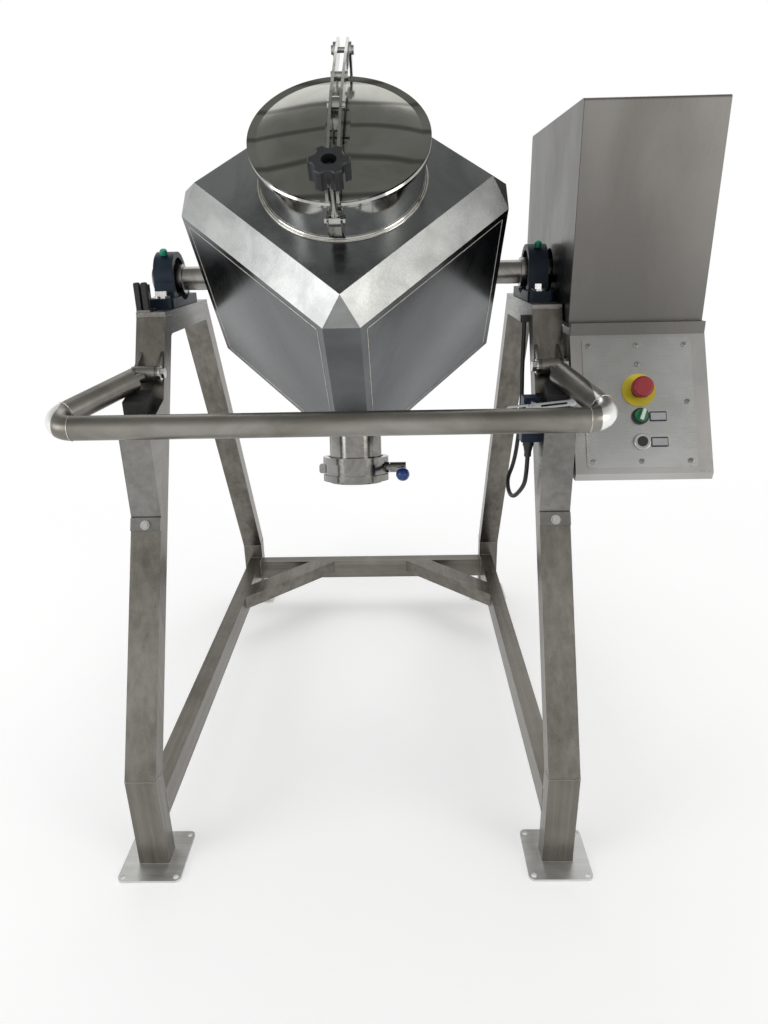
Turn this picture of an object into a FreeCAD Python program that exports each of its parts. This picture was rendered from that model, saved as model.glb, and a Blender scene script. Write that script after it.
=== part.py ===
import FreeCAD, Part
import math
import os

# A cubic powder mixer: a cube-shaped vessel turns corner over corner on a level shaft between two
# A-frames. Millimetres, +Z up, origin on the floor midway between the four feet.

# Shaft and bearings
SHAFT_R = 25.0
HEAD_Z = 1030.0
HEAD_PLATE_T = 8.0
BEARING_HEIGHT = 57.0
BEARING_X = 405.0
BEARING_FOOT_L = 206.0
BEARING_FOOT_W = 56.0
BEARING_FOOT_T = 21.0
BEARING_BODY_W = 42.0
BEARING_BODY_R = 57.0
BEARING_SEAT_R = 45.0
BEARING_RACE_R = 31.0
BEARING_RING_W = 50.0
BEARING_BOLT_SPACING = 159.0
RUNNING_FIT = 0.05
FIT = 0.02

# Side frames
LEG_W = 60.0
LEG_D = 40.0
TUBE_WALL = 3.0
LEG_IN_X = 373.5
LEG_OUT_Y = 591.0
LEG_BEND_Z = 209.0
LEG_HEAD_Y = 172.0
GUSSET_T = 5.0
GUSSET_DROP = 38.0
GUSSET_RADIUS = 18.0
FOOT_SIZE = 125.0
FOOT_T = 5.0
FOOT_CORNER_R = 12.0
FOOT_HOLE_SPACING = 105.0
FOOT_HOLE_R = 5.5
RAIL_W = 40.0
RAIL_H = 60.0
RAIL_TOP_Z = 155.0
BRACE_W = 60.0
BRACE_H = 40.0
BRACE_LEG = 253.0

# Vessel
CUBE_SIDE = 500.0
CUBE_CHAMFER = 48.0
SHELL_T = 4.0
VESSEL_TURN = -11.23
LID_FACE_ANGLE = 54.7356
LID_TWIST = -1.6
NECK_R = 158.0
NECK_T = 4.0
NECK_TOP = 335.0
RIM_LIP = 8.0
RIM_H = 10.0
LID_FLAT = 16.0
LID_DOME_H = 18.0
LID_T = 3.5
GASKET_T = 3.0
SEAL_GAP = 0.3

# Lid arm, clamp bolt and knob
BAR_T = 5.0
BAR_GAP = 13.0
PIN_R = 5.0
PIN_GAP = 0.05
REAR_PIN = (188.0, 377.0)
LUG_PIN = (0.0, 398.0)
STAY_PIN = (95.0, 388.0)
CLAMP_PIN = (-177.0, 312.0)
CLAMP_BOLT_R = 6.0
FORK_TOP = 391.0
FORK_END = 183.0
BOLT_REACH = 29.0
KNOB_R = 34.5
KNOB_H = 34.0
KNOB_SINK_R = 12.5
KNOB_SINK_DEPTH = 15.0
KNOB_LOBES = 6
KNOB_SCALLOP_R = 13.0
THREAD_GAP = 0.3
WASHER_R = 16.0
WASHER_T = 6.0

# Outlet and butterfly valve, measured down the cube's diagonal from its centre
OUTLET_R = 60.0
OUTLET_WALL = 4.0
OUTLET_END = 412.0
VALVE_R = 72.0
VALVE_BORE_R = 53.2
VALVE_TOP = 414.0
VALVE_BOTTOM = 448.0
DISC_R = 52.7
DISC_T = 8.0
SPINDLE_R = 8.0
FERRULE_R = 68.0
FERRULE_END = 464.0
FERRULE_BORE_R = 55.0
LEVER_HUB_X = 96.0
LEVER_BALL_R = 15.0

# Guard bar
GUARD_R = 22.0
GUARD_WALL = 2.5
GUARD_PIVOT_Y = -250.0
GUARD_PIVOT_Z = 928.0
GUARD_EYE_X = 400.0
GUARD_BAR_Y = -450.0
GUARD_BAR_Z = 867.3
GUARD_LEFT_X = -541.0
GUARD_RIGHT_X = 480.0
GUARD_ELBOW_R = 34.0
GUARD_EYE_R = 14.0
GUARD_EYE_W = 36.0
GUARD_NECK = 22.0
GUARD_NECK_R = 7.0
GUARD_PIN_R = 6.0
LUG_T = 6.0

# Stop brackets under the guard bar's arms
STOP_Y = -360.0
STOP_TOP_Z = 842.0
STOP_BOTTOM_Z = 661.0
STOP_WALL = 4.0
STOP_FLANGE_Z = 638.0
STOP_BOLT_R = 4.0
STOP_BOLT_FLATS = 13.0
STOP_BOLT_HEAD = 5.5
STOP_PAD_X = (387.0, 433.0)

# Limit switch
SWITCH_X = (340.0, 373.5)
SWITCH_Y = (-312.0, -278.0)
SWITCH_Z = (790.0, 858.0)
SWITCH_SHAFT = (356.0, 865.0)
SWITCH_LEVER_Y = -330.0
SWITCH_LEVER_T = 3.0
ROLLER_R = 8.5
ROLLER_X = 430.0
CABLE_R = 4.5

# Drive cover and control box
COVER_X = (437.0, 698.0)
COVER_Y = (-220.0, 280.0)
COVER_Z = (1007.0, 1395.0)
COVER_T = 2.0
TRAY_Y = -239.0
TRAY_Z = 984.0
PANEL_TOP = (-240.0, 984.0)
PANEL_BOTTOM = (-368.0, 741.0)
BOX_BACK_Y = -60.0
BOX_BOTTOM_Z = 727.0
BOX_LIP = 3.0
PANEL_X = (22.0, 232.0)
PANEL_V = (7.0, 264.0)
PANEL_T = 2.0
PANEL_CORNER_R = 8.0
SCREW_R = 5.0
STOP_CENTRE = (127.0, 112.5)
SELECTOR_CENTRE = (127.0, 164.0)
BUTTON_CENTRE = (127.5, 214.0)
BEZEL_R = 16.0
LEGEND_X = (18.0, 50.0)
LEGEND_V = (-9.0, 10.0)
OPERATOR_HOLE_R = 11.0
OPERATOR_THROAT_R = OPERATOR_HOLE_R - 0.1
STOP_STROKE = 4.0

# Drive
REDUCER_X = (500.0, 620.0)
REDUCER_HALF_Y = 75.0
REDUCER_TOP_Z = 1215.0
HUB_R = 35.0
WORM_OFFSET = 75.0
MOTOR_R = 68.0
MOTOR_END_Y = 268.0

SHAFT_Z = HEAD_Z + HEAD_PLATE_T + BEARING_HEIGHT
LEG_OUT_X = LEG_IN_X + LEG_W
RIM_R = NECK_R + RIM_LIP
LID_R = RIM_R
LID_DOME_R = LID_R - LID_FLAT
LEG_TAN = (LEG_OUT_Y - LEG_HEAD_Y) / (HEAD_Z - LEG_BEND_Z)
LEG_ANGLE = math.atan(LEG_TAN)
EDGE_STRIP_X = (CUBE_SIDE - CUBE_CHAMFER) / math.sqrt(2.0)
LID_SEAT = NECK_TOP + SEAL_GAP
LID_FLANGE = LID_SEAT + GASKET_T
LID_FLANGE_TOP = LID_FLANGE + LID_T
LID_TOP = LID_FLANGE_TOP + LID_DOME_H
BAR_OUT = BAR_GAP / 2.0 + BAR_T
VALVE_MID = (VALVE_TOP + VALVE_BOTTOM) / 2.0
CENTRE = FreeCAD.Vector(0.0, 0.0, SHAFT_Z)
X_AXIS = FreeCAD.Vector(1.0, 0.0, 0.0)
Y_AXIS = FreeCAD.Vector(0.0, 1.0, 0.0)
Z_AXIS = FreeCAD.Vector(0.0, 0.0, 1.0)
ORIGIN = FreeCAD.Vector(0.0, 0.0, 0.0)
SIDES = (-1.0, 1.0)


def vec(x, y, z):
    return FreeCAD.Vector(x, y, z)


def block(x_range, y_range, z_range):
    x_low, x_high = sorted(x_range)
    y_low, y_high = sorted(y_range)
    z_low, z_high = sorted(z_range)
    size = (x_high - x_low, y_high - y_low, z_high - z_low)
    return Part.makeBox(size[0], size[1], size[2], vec(x_low, y_low, z_low))


def rod(start, end, radius):
    along = end.sub(start)
    return Part.makeCylinder(radius, along.Length, start, along)


def ring(start, end, outer, inner):
    along = end.sub(start)
    outside = Part.makeCylinder(outer, along.Length, start, along)
    return outside.cut(Part.makeCylinder(inner, along.Length, start, along))


def face_of(points):
    return Part.Face(Part.makePolygon(points + [points[0]]))


def prism_x(points, x_range):
    """Extrude an outline of (y, z) points along X."""
    low, high = sorted(x_range)
    return face_of([vec(low, y, z) for y, z in points]).extrude(vec(high - low, 0.0, 0.0))


def prism_z(points, z_range):
    """Extrude an outline of (x, y) points along Z."""
    low, high = sorted(z_range)
    return face_of([vec(x, y, low) for x, y in points]).extrude(vec(0.0, 0.0, high - low))


def turned(profile):
    """Revolve a face in the XZ plane about Z."""
    return profile.revolve(ORIGIN, Z_AXIS, 360.0)


def fuse_all(shapes):
    result = shapes[0]
    for shape in shapes[1:]:
        result = result.fuse(shape)
    return result.removeSplitter()


def cut_all(shape, tools):
    for tool in tools:
        shape = shape.cut(tool)
    return shape


def edges_along(shape, direction, at=None):
    """Straight edges along a direction, optionally only those whose middle passes a test."""
    chosen = []
    for edge in shape.Edges:
        if not isinstance(edge.Curve, Part.Line):
            continue
        along = edge.Vertexes[-1].Point.sub(edge.Vertexes[0].Point)
        if along.Length < 0.001 or along.cross(direction).Length > 0.001 * along.Length:
            continue
        if at is None or at(edge.CenterOfMass):
            chosen.append(edge)
    return chosen


def plate_with_corners(x_range, y_range, z_range, radius):
    plate = block(x_range, y_range, z_range)
    return plate.makeFillet(radius, edges_along(plate, Z_AXIS))


def hex_bolt(seat, direction, shank_r, shank_length, across_flats, head_height):
    """A hexagon bolt and washer: the head stands on the seat, the shank runs the other way."""
    up = vec(direction.x, direction.y, direction.z).normalize()
    washer_t = 0.2 * across_flats
    head = Part.makeCylinder(across_flats / math.sqrt(3.0), head_height)
    for step in range(6):
        slab = block((across_flats / 2.0, across_flats), (-across_flats, across_flats), (0.0, head_height))
        slab.rotate(ORIGIN, Z_AXIS, 60.0 * step)
        head = head.cut(slab)
    head.translate(vec(0.0, 0.0, washer_t))
    washer = Part.makeCylinder(0.72 * across_flats, washer_t)
    shank = Part.makeCylinder(shank_r, shank_length, vec(0.0, 0.0, -shank_length))
    bolt = head.fuse(washer).fuse(shank)
    bolt.Placement = FreeCAD.Placement(seat, FreeCAD.Rotation(Z_AXIS, up))
    return bolt


def in_lid_frame(shape, twisted=True):
    """From the lid's own frame (z out of the lid's face, x along the shaft) to the machine."""
    placed = shape.copy()
    if twisted:
        placed.rotate(ORIGIN, Z_AXIS, LID_TWIST)
    placed.rotate(ORIGIN, X_AXIS, LID_FACE_ANGLE + VESSEL_TURN)
    placed.translate(CENTRE)
    return placed


def in_outlet_frame(shape):
    """From the outlet's own frame (-z out of the outlet, x along the shaft) to the machine."""
    placed = shape.copy()
    placed.rotate(ORIGIN, X_AXIS, VESSEL_TURN)
    placed.translate(CENTRE)
    return placed


def in_panel_frame(shape):
    """From the panel's frame (x across, -y down the slope, z out) to the machine."""
    slope = math.degrees(math.atan2(PANEL_TOP[1] - PANEL_BOTTOM[1], PANEL_TOP[0] - PANEL_BOTTOM[0]))
    placed = shape.copy()
    placed.rotate(ORIGIN, X_AXIS, slope)
    placed.translate(vec(COVER_X[0], PANEL_TOP[0], PANEL_TOP[1]))
    return placed


# Side frames

def leg_slope_y(z, inset):
    """Distance from the middle plane of the leg's sloping line, set in from its outer face."""
    return LEG_OUT_Y - (z - LEG_BEND_Z) * LEG_TAN - inset / math.cos(LEG_ANGLE)


def leg_bend_z(inset):
    return LEG_BEND_Z + inset * (1.0 - 1.0 / math.cos(LEG_ANGLE)) / LEG_TAN


def leg_outline(outer, inner, overrun):
    top = HEAD_Z + overrun
    bottom = FOOT_T - overrun
    return [
        (leg_slope_y(top, outer), top),
        (LEG_OUT_Y - outer, leg_bend_z(outer)),
        (LEG_OUT_Y - outer, bottom),
        (LEG_OUT_Y - inner, bottom),
        (LEG_OUT_Y - inner, leg_bend_z(inner)),
        (leg_slope_y(top, inner), top),
    ]


def leg(side, end):
    """A foot post and a sloping tube, mitred and welded where they meet, open at both ends."""
    outline = leg_outline(0.0, LEG_D, 0.0)
    inside = [(end * y, z) for y, z in leg_outline(TUBE_WALL, LEG_D - TUBE_WALL, 1.0)]
    hollow = prism_x(inside, (side * (LEG_IN_X + TUBE_WALL), side * (LEG_OUT_X - TUBE_WALL)))
    tubes = []
    for corners in (outline[1:5], [outline[0], outline[1], outline[4], outline[5]]):
        outside = [(end * y, z) for y, z in corners]
        tubes.append(prism_x(outside, (side * LEG_IN_X, side * LEG_OUT_X)).cut(hollow))
    return group(tubes)


def head_plate(side):
    plate = block((side * LEG_IN_X, side * LEG_OUT_X), (-LEG_HEAD_Y, LEG_HEAD_Y),
                  (HEAD_Z, HEAD_Z + HEAD_PLATE_T))
    holes = [rod(vec(side * BEARING_X, end * BEARING_BOLT_SPACING / 2.0, HEAD_Z - 1.0),
                 vec(side * BEARING_X, end * BEARING_BOLT_SPACING / 2.0, HEAD_Z + HEAD_PLATE_T + 1.0), 8.75)
             for end in SIDES]
    return cut_all(plate, holes)


def head_gussets(side):
    """Two plates that close the leg head, with a rounded cut-out between the legs."""
    bottom = HEAD_Z - GUSSET_DROP
    low = bottom - 1.5 * GUSSET_RADIUS
    gap_top = leg_slope_y(HEAD_Z, LEG_D)
    gap_low = leg_slope_y(low, LEG_D)
    gap_mid = leg_slope_y(bottom, LEG_D)
    outline = [(-gap_top, HEAD_Z), (gap_top, HEAD_Z), (gap_low, low), (-gap_low, low)]
    window_outline = [(-gap_mid, bottom), (gap_mid, bottom),
                      (gap_low + 20.0, low - 20.0), (-gap_low - 20.0, low - 20.0)]
    gussets = []
    for start in (LEG_IN_X, LEG_OUT_X - GUSSET_T):
        x_range = (side * start, side * (start + GUSSET_T))
        window = prism_x(window_outline, x_range)
        corners = edges_along(window, X_AXIS, lambda point: point.z > bottom - 0.1)
        window = window.makeFillet(GUSSET_RADIUS, corners)
        gussets.append(prism_x(outline, x_range).cut(window))
    return Part.makeCompound([solid for gusset in gussets for solid in gusset.Solids])


def foot_plates():
    plates = []
    centre_y = LEG_OUT_Y - LEG_D / 2.0
    half = FOOT_SIZE / 2.0
    reach = FOOT_HOLE_SPACING / 2.0
    for side in SIDES:
        for end in SIDES:
            x = side * (LEG_IN_X + LEG_W / 2.0)
            y = end * centre_y
            plate = plate_with_corners((x - half, x + half), (y - half, y + half), (0.0, FOOT_T),
                                       FOOT_CORNER_R)
            for dx in (-reach, reach):
                for dy in (-reach, reach):
                    hole = rod(vec(x + dx, y + dy, -1.0), vec(x + dx, y + dy, FOOT_T + 1.0), FOOT_HOLE_R)
                    plate = plate.cut(hole)
            plates.append(plate)
    return Part.makeCompound(plates)


def side_rail(side):
    half = LEG_OUT_Y - LEG_D
    bottom = RAIL_TOP_Z - RAIL_H
    tube = block((side * LEG_IN_X, side * (LEG_IN_X + RAIL_W)), (-half, half), (bottom, RAIL_TOP_Z))
    hollow = block((side * (LEG_IN_X + TUBE_WALL), side * (LEG_IN_X + RAIL_W - TUBE_WALL)),
                   (-half - 1.0, half + 1.0), (bottom + TUBE_WALL, RAIL_TOP_Z - TUBE_WALL))
    return tube.cut(hollow)


def rear_rail():
    back = LEG_OUT_Y - LEG_D
    bottom = RAIL_TOP_Z - RAIL_H
    tube = block((-LEG_IN_X, LEG_IN_X), (back - RAIL_W, back), (bottom, RAIL_TOP_Z))
    hollow = block((-LEG_IN_X - 1.0, LEG_IN_X + 1.0), (back - RAIL_W + TUBE_WALL, back - TUBE_WALL),
                   (bottom + TUBE_WALL, RAIL_TOP_Z - TUBE_WALL))
    return tube.cut(hollow)


def corner_brace(side):
    """A flat tube at 45 degrees between a side rail and the rear rail."""
    front_y = LEG_OUT_Y - LEG_D - RAIL_W
    short = BRACE_LEG - BRACE_W * math.sqrt(2.0)
    wall = TUBE_WALL * math.sqrt(2.0)

    def outline(long_leg, short_leg, overrun):
        near = LEG_IN_X + overrun
        far = front_y + overrun
        return [(side * near, front_y - long_leg - overrun), (side * near, front_y - short_leg - overrun),
                (side * (LEG_IN_X - short_leg - overrun), far), (side * (LEG_IN_X - long_leg - overrun), far)]

    solid = prism_z(outline(BRACE_LEG, short, 0.0), (RAIL_TOP_Z - BRACE_H, RAIL_TOP_Z))
    hollow = prism_z(outline(BRACE_LEG - wall, short + wall, 1.0),
                     (RAIL_TOP_Z - BRACE_H + TUBE_WALL, RAIL_TOP_Z - TUBE_WALL))
    return solid.cut(hollow)


def left_stop_block():
    """The small upright block with two strips at the front of the left leg head."""
    seat = HEAD_Z + HEAD_PLATE_T
    back = block((-LEG_OUT_X, -LEG_OUT_X + 16.0), (-150.0, -112.0), (seat, seat + 52.0))
    base = block((-LEG_OUT_X, -LEG_OUT_X + 28.0), (-168.0, -112.0), (seat, seat + 4.0))
    return back.fuse(base).removeSplitter()


def left_stop_strips():
    seat = HEAD_Z + HEAD_PLATE_T + 4.0
    strips = []
    for start in (0.0, 15.0):
        strip = block((-LEG_OUT_X + start, -LEG_OUT_X + start + 10.0), (-166.0, -152.0), (seat, seat + 54.0))
        top = edges_along(strip, Y_AXIS, lambda point: point.z > seat + 50.0)
        strips.append(strip.makeFillet(4.0, top))
    return Part.makeCompound(strips)


# Bearings

def bearing_housing(side):
    """A pillow block: a slotted foot, a round body and webs between."""
    seat = HEAD_Z + HEAD_PLATE_T
    half_l = BEARING_FOOT_L / 2.0
    low_x = side * BEARING_X - BEARING_FOOT_W / 2.0
    foot = plate_with_corners((low_x, low_x + BEARING_FOOT_W), (-half_l, half_l),
                              (seat, seat + BEARING_FOOT_T), 10.0)
    body_x = (side * BEARING_X - BEARING_BODY_W / 2.0, side * BEARING_X + BEARING_BODY_W / 2.0)
    body = rod(vec(body_x[0], 0.0, SHAFT_Z), vec(body_x[1], 0.0, SHAFT_Z), BEARING_BODY_R)
    web_foot = BEARING_BODY_R + 4.0
    webs = prism_x([(-web_foot, seat + BEARING_FOOT_T - 1.0), (web_foot, seat + BEARING_FOOT_T - 1.0),
                    (0.92 * BEARING_BODY_R, SHAFT_Z + 0.38 * BEARING_BODY_R),
                    (-0.92 * BEARING_BODY_R, SHAFT_Z + 0.38 * BEARING_BODY_R)], body_x)
    below = block((low_x - 1.0, low_x + BEARING_FOOT_W + 1.0), (-half_l, half_l), (seat - 20.0, seat))
    housing = fuse_all([foot, body, webs]).cut(below)
    bore = rod(vec(low_x - 5.0, 0.0, SHAFT_Z), vec(low_x + BEARING_FOOT_W + 5.0, 0.0, SHAFT_Z),
               BEARING_SEAT_R)
    housing = housing.cut(bore)
    for end in SIDES:
        for shift in (-1.5, 1.5):
            y = end * BEARING_BOLT_SPACING / 2.0 + shift
            housing = housing.cut(rod(vec(side * BEARING_X, y, seat - 1.0),
                                      vec(side * BEARING_X, y, seat + BEARING_FOOT_T + 1.0), 10.0))
    return housing


def bearing_outer_ring(side):
    half = 10.0
    return ring(vec(side * BEARING_X - half, 0.0, SHAFT_Z), vec(side * BEARING_X + half, 0.0, SHAFT_Z),
                BEARING_SEAT_R - FIT, BEARING_RACE_R)


def bearing_inner_ring(side):
    """The locking ring turns with the shaft; it stands out on the vessel's side."""
    inner_end = side * (BEARING_X - 0.63 * BEARING_RING_W)
    outer_end = side * (BEARING_X + 0.37 * BEARING_RING_W)
    return ring(vec(inner_end, 0.0, SHAFT_Z), vec(outer_end, 0.0, SHAFT_Z),
                BEARING_RACE_R - RUNNING_FIT, SHAFT_R + FIT)


def bearing_bolts():
    bolts = []
    seat = HEAD_Z + HEAD_PLATE_T + BEARING_FOOT_T
    for side in SIDES:
        for end in SIDES:
            place = vec(side * BEARING_X, end * BEARING_BOLT_SPACING / 2.0, seat)
            bolt = hex_bolt(place, Z_AXIS, 8.0, BEARING_FOOT_T + HEAD_PLATE_T + 16.0, 24.0, 10.0)
            nut = hex_bolt(vec(place.x, place.y, HEAD_Z), vec(0.0, 0.0, -1.0), 8.0, 1.0, 24.0, 10.0)
            bolts.append(bolt.fuse(nut).removeSplitter())
    return Part.makeCompound(bolts)


def grease_caps():
    """A nipple on the bearing's upper front with a round cap over it."""
    caps = []
    lean = 28.0
    for side in SIDES:
        stem = Part.makeCylinder(4.0, 8.0, vec(0.0, 0.0, BEARING_BODY_R - 3.0))
        cap = Part.makeCylinder(8.0, 10.0, vec(0.0, 0.0, BEARING_BODY_R + 3.0))
        rim = [edge for edge in cap.Edges if edge.BoundBox.ZMin > BEARING_BODY_R + 12.0]
        piece = stem.fuse(cap.makeFillet(4.0, rim))
        piece.rotate(ORIGIN, X_AXIS, lean)
        piece.translate(vec(side * BEARING_X, 0.0, SHAFT_Z))
        body = rod(vec(side * BEARING_X - BEARING_BODY_W, 0.0, SHAFT_Z),
                   vec(side * BEARING_X + BEARING_BODY_W, 0.0, SHAFT_Z), BEARING_BODY_R)
        caps.append(piece.cut(body))
    return group(caps)


# Vessel

def chamfered_cube(side_length, chamfer):
    half = side_length / 2.0
    cube = block((-half, half), (-half, half), (-half, half))
    cube = cube.makeChamfer(chamfer, cube.Edges)
    cube.rotate(ORIGIN, Z_AXIS, 45.0)
    return cube


def fold_frustum(reach):
    """The space behind one flat of the cube: mitred on the planes that halve its folds."""
    flat = CUBE_SIDE / 2.0 - CUBE_CHAMFER
    mitre = math.tan(math.radians(22.5))
    wires = []
    for z in (CUBE_SIDE / 2.0 - reach, CUBE_SIDE / 2.0 + reach):
        half = flat + (z - CUBE_SIDE / 2.0) * mitre
        corners = [vec(-half, -half, z), vec(half, -half, z), vec(half, half, z), vec(-half, half, z)]
        wires.append(Part.makePolygon(corners + [corners[0]]))
    return Part.makeLoft(wires, True, True)


def edge_wedge():
    """The space from the cube's centre to its edge between +X and +Y, mitred at the two corners."""
    far = CUBE_SIDE
    centre = ORIGIN
    top = vec(far, far, far)
    low = vec(far, far, -far)
    on_x = vec(far, 0.0, 0.0)
    on_y = vec(0.0, far, 0.0)
    triangles = [(centre, top, on_y), (centre, low, on_y), (centre, top, on_x), (centre, low, on_x),
                 (top, low, on_x), (top, low, on_y)]
    faces = [face_of(list(triangle)) for triangle in triangles]
    return Part.Solid(Part.Shell(faces))


def turned_about(shape, axis, degrees):
    placed = shape.copy()
    placed.rotate(ORIGIN, axis, degrees)
    return placed


def cube_outside():
    return in_lid_frame(chamfered_cube(CUBE_SIDE, CUBE_CHAMFER), twisted=False)


def outlet_core(radius, start, end):
    return in_outlet_frame(rod(vec(0.0, 0.0, -start), vec(0.0, 0.0, -end), radius))


def vessel_wall():
    inner_side = CUBE_SIDE - 2.0 * SHELL_T
    inner_chamfer = CUBE_CHAMFER - (2.0 - math.sqrt(2.0)) * SHELL_T
    return chamfered_cube(CUBE_SIDE, CUBE_CHAMFER).cut(chamfered_cube(inner_side, inner_chamfer))


def on_cube(shape):
    """From the cube's own axes to the machine."""
    return in_lid_frame(turned_about(shape, Z_AXIS, 45.0), twisted=False)


def vessel_top():
    """The flat plate under the lid, with the neck's mouth."""
    plate = in_lid_frame(vessel_wall(), twisted=False).common(on_cube(fold_frustum(2.0 * SHELL_T)))
    half = CUBE_SIDE / 2.0
    return plate.cut(in_lid_frame(rod(vec(0.0, 0.0, half - 20.0), vec(0.0, 0.0, half + 20.0), NECK_R - NECK_T)))


def vessel_shell():
    """Five flat plates and twelve folded edge strips, mitred and welded to one another."""
    wall = in_lid_frame(vessel_wall(), twisted=False)
    bore = outlet_core(OUTLET_R - OUTLET_WALL, CUBE_SIDE / 2.0, OUTLET_END)
    top = fold_frustum(2.0 * SHELL_T)
    flats = [turned_about(top, X_AXIS, angle) for angle in (0.0, 90.0, 180.0, 270.0)]
    flats += [turned_about(top, Y_AXIS, angle) for angle in (90.0, 270.0)]
    plates = [wall.common(on_cube(flat)).cut(bore) for flat in flats[1:]]
    edges = cut_all(wall, [on_cube(flat) for flat in flats])
    wedge = edge_wedge()
    strips = []
    for axis in (Z_AXIS, X_AXIS, Y_AXIS):
        first = wedge if axis is Z_AXIS else turned_about(wedge, Y_AXIS if axis is X_AXIS else X_AXIS, 90.0)
        for quarter in range(4):
            strips.append(edges.common(on_cube(turned_about(first, axis, 90.0 * quarter))).cut(bore))
    return group(plates + strips)


def neck_profile(inner):
    """The neck's section: weld bead, wall and rolled rim."""
    base = CUBE_SIDE / 2.0
    bead = 5.0
    points = [(inner, base), (NECK_R + bead, base), (NECK_R, base + bead), (NECK_R, NECK_TOP - RIM_H - 6.0),
              (RIM_R, NECK_TOP - RIM_H + 2.0), (RIM_R, NECK_TOP - 3.0), (RIM_R - 3.0, NECK_TOP),
              (inner, NECK_TOP)]
    return face_of([vec(r, 0.0, z) for r, z in points])


def neck():
    return in_lid_frame(turned(neck_profile(NECK_R - NECK_T)))


def neck_filled():
    return turned(neck_profile(0.0))


def shaft_stub(side):
    end_x = LEG_OUT_X + 6.0 if side < 0.0 else REDUCER_X[1] + 14.0
    return rod(vec(side * EDGE_STRIP_X, 0.0, SHAFT_Z), vec(side * end_x, 0.0, SHAFT_Z), SHAFT_R)


def dome_face(flange_z, crown_z, thickness, filled):
    """The lid's section: a flat rim and a dished middle."""
    middle = 0.5 * LID_DOME_R
    rise = crown_z - flange_z
    sphere_r = (LID_DOME_R ** 2 + rise ** 2) / (2.0 * rise)
    mid_z = crown_z - sphere_r + math.sqrt(sphere_r ** 2 - middle ** 2)
    top = Part.Arc(vec(0.0, 0.0, crown_z), vec(middle, 0.0, mid_z), vec(LID_DOME_R, 0.0, flange_z)).toShape()
    if filled:
        edges = [top, Part.makeLine(vec(LID_DOME_R, 0.0, flange_z), vec(LID_DOME_R, 0.0, flange_z - 30.0)),
                 Part.makeLine(vec(LID_DOME_R, 0.0, flange_z - 30.0), vec(0.0, 0.0, flange_z - 30.0)),
                 Part.makeLine(vec(0.0, 0.0, flange_z - 30.0), vec(0.0, 0.0, crown_z))]
        return Part.Face(Part.Wire(edges))
    low = Part.Arc(vec(0.0, 0.0, crown_z - thickness), vec(middle, 0.0, mid_z - thickness),
                   vec(LID_DOME_R, 0.0, flange_z - thickness)).toShape()
    edges = [top,
             Part.makeLine(vec(LID_DOME_R, 0.0, flange_z), vec(LID_R, 0.0, flange_z)),
             Part.makeLine(vec(LID_R, 0.0, flange_z), vec(LID_R, 0.0, flange_z - thickness)),
             Part.makeLine(vec(LID_R, 0.0, flange_z - thickness), vec(LID_DOME_R, 0.0, flange_z - thickness)),
             low,
             Part.makeLine(vec(0.0, 0.0, crown_z - thickness), vec(0.0, 0.0, crown_z))]
    return Part.Face(Part.Wire(Part.__sortEdges__(edges)))


def lid_dish():
    return in_lid_frame(turned(dome_face(LID_FLANGE_TOP, LID_TOP, LID_T, False)))


def lid_gasket():
    return in_lid_frame(ring(vec(0.0, 0.0, LID_SEAT), vec(0.0, 0.0, LID_FLANGE), RIM_R - 4.0, NECK_R - NECK_T))


def pin_along_x(centre, half_length, radius):
    y, z = centre
    return rod(vec(-half_length, y, z), vec(half_length, y, z), radius)


def headed_pin(centre, half_length, radius):
    """A cross pin with a round head at each end, outside the half length."""
    y, z = centre
    pin = pin_along_x(centre, half_length + 1.0, radius)
    for side in SIDES:
        pin = pin.fuse(rod(vec(side * half_length, y, z), vec(side * (half_length + 4.0), y, z), 1.6 * radius))
    return pin.removeSplitter()


def lid_lug():
    """The upright lug in the middle of the lid that hangs from the arm's pin."""
    half = BAR_GAP / 2.0 - 0.5
    y, z = LUG_PIN
    plate = prism_x([(-24.0, LID_TOP - 12.0), (24.0, LID_TOP - 12.0), (14.0, z), (-14.0, z)], (-half, half))
    head = rod(vec(-half, y, z), vec(half, y, z), 14.0)
    foot = block((-22.0, 22.0), (-34.0, 34.0), (LID_TOP - 12.0, LID_TOP + 4.0))
    lug = fuse_all([plate, head, foot])
    lug = lug.cut(turned(dome_face(LID_FLANGE_TOP, LID_TOP, LID_T, True)))
    return in_lid_frame(lug.cut(pin_along_x(LUG_PIN, 30.0, PIN_R + PIN_GAP)))


def bar_outline():
    """The arm's arched outline from its tail behind the hinge to the fork over the rim."""
    return [(212.0, 386.0), (150.0, 398.0), (20.0, 412.0), (-30.0, 410.0), (-95.0, 399.0), (-140.0, FORK_TOP),
            (-FORK_END, FORK_TOP), (-FORK_END, 352.0), (-168.0, 350.0), (-140.0, 356.0), (-90.0, 368.0),
            (-20.0, 385.0), (60.0, 382.0), (170.0, 363.0), (196.0, 360.0), (212.0, 366.0)]


def lid_arm_bar(side):
    bar = prism_x(bar_outline(), (side * BAR_GAP / 2.0, side * BAR_OUT))
    holes = [pin_along_x(REAR_PIN, 40.0, PIN_R + PIN_GAP), pin_along_x(LUG_PIN, 40.0, PIN_R + FIT),
             pin_along_x(STAY_PIN, 40.0, PIN_R + FIT)]
    return in_lid_frame(cut_all(bar, holes))


def lid_arm_pins():
    """The lid's own pin and the stay between the bars, with its spacer tube."""
    lug_pin = headed_pin(LUG_PIN, BAR_OUT, PIN_R)
    stay = headed_pin(STAY_PIN, BAR_OUT, PIN_R)
    spacer = pin_along_x(STAY_PIN, BAR_GAP / 2.0, 1.5 * PIN_R)
    return in_lid_frame(Part.makeCompound([lug_pin, stay.fuse(spacer).removeSplitter()]))


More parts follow.
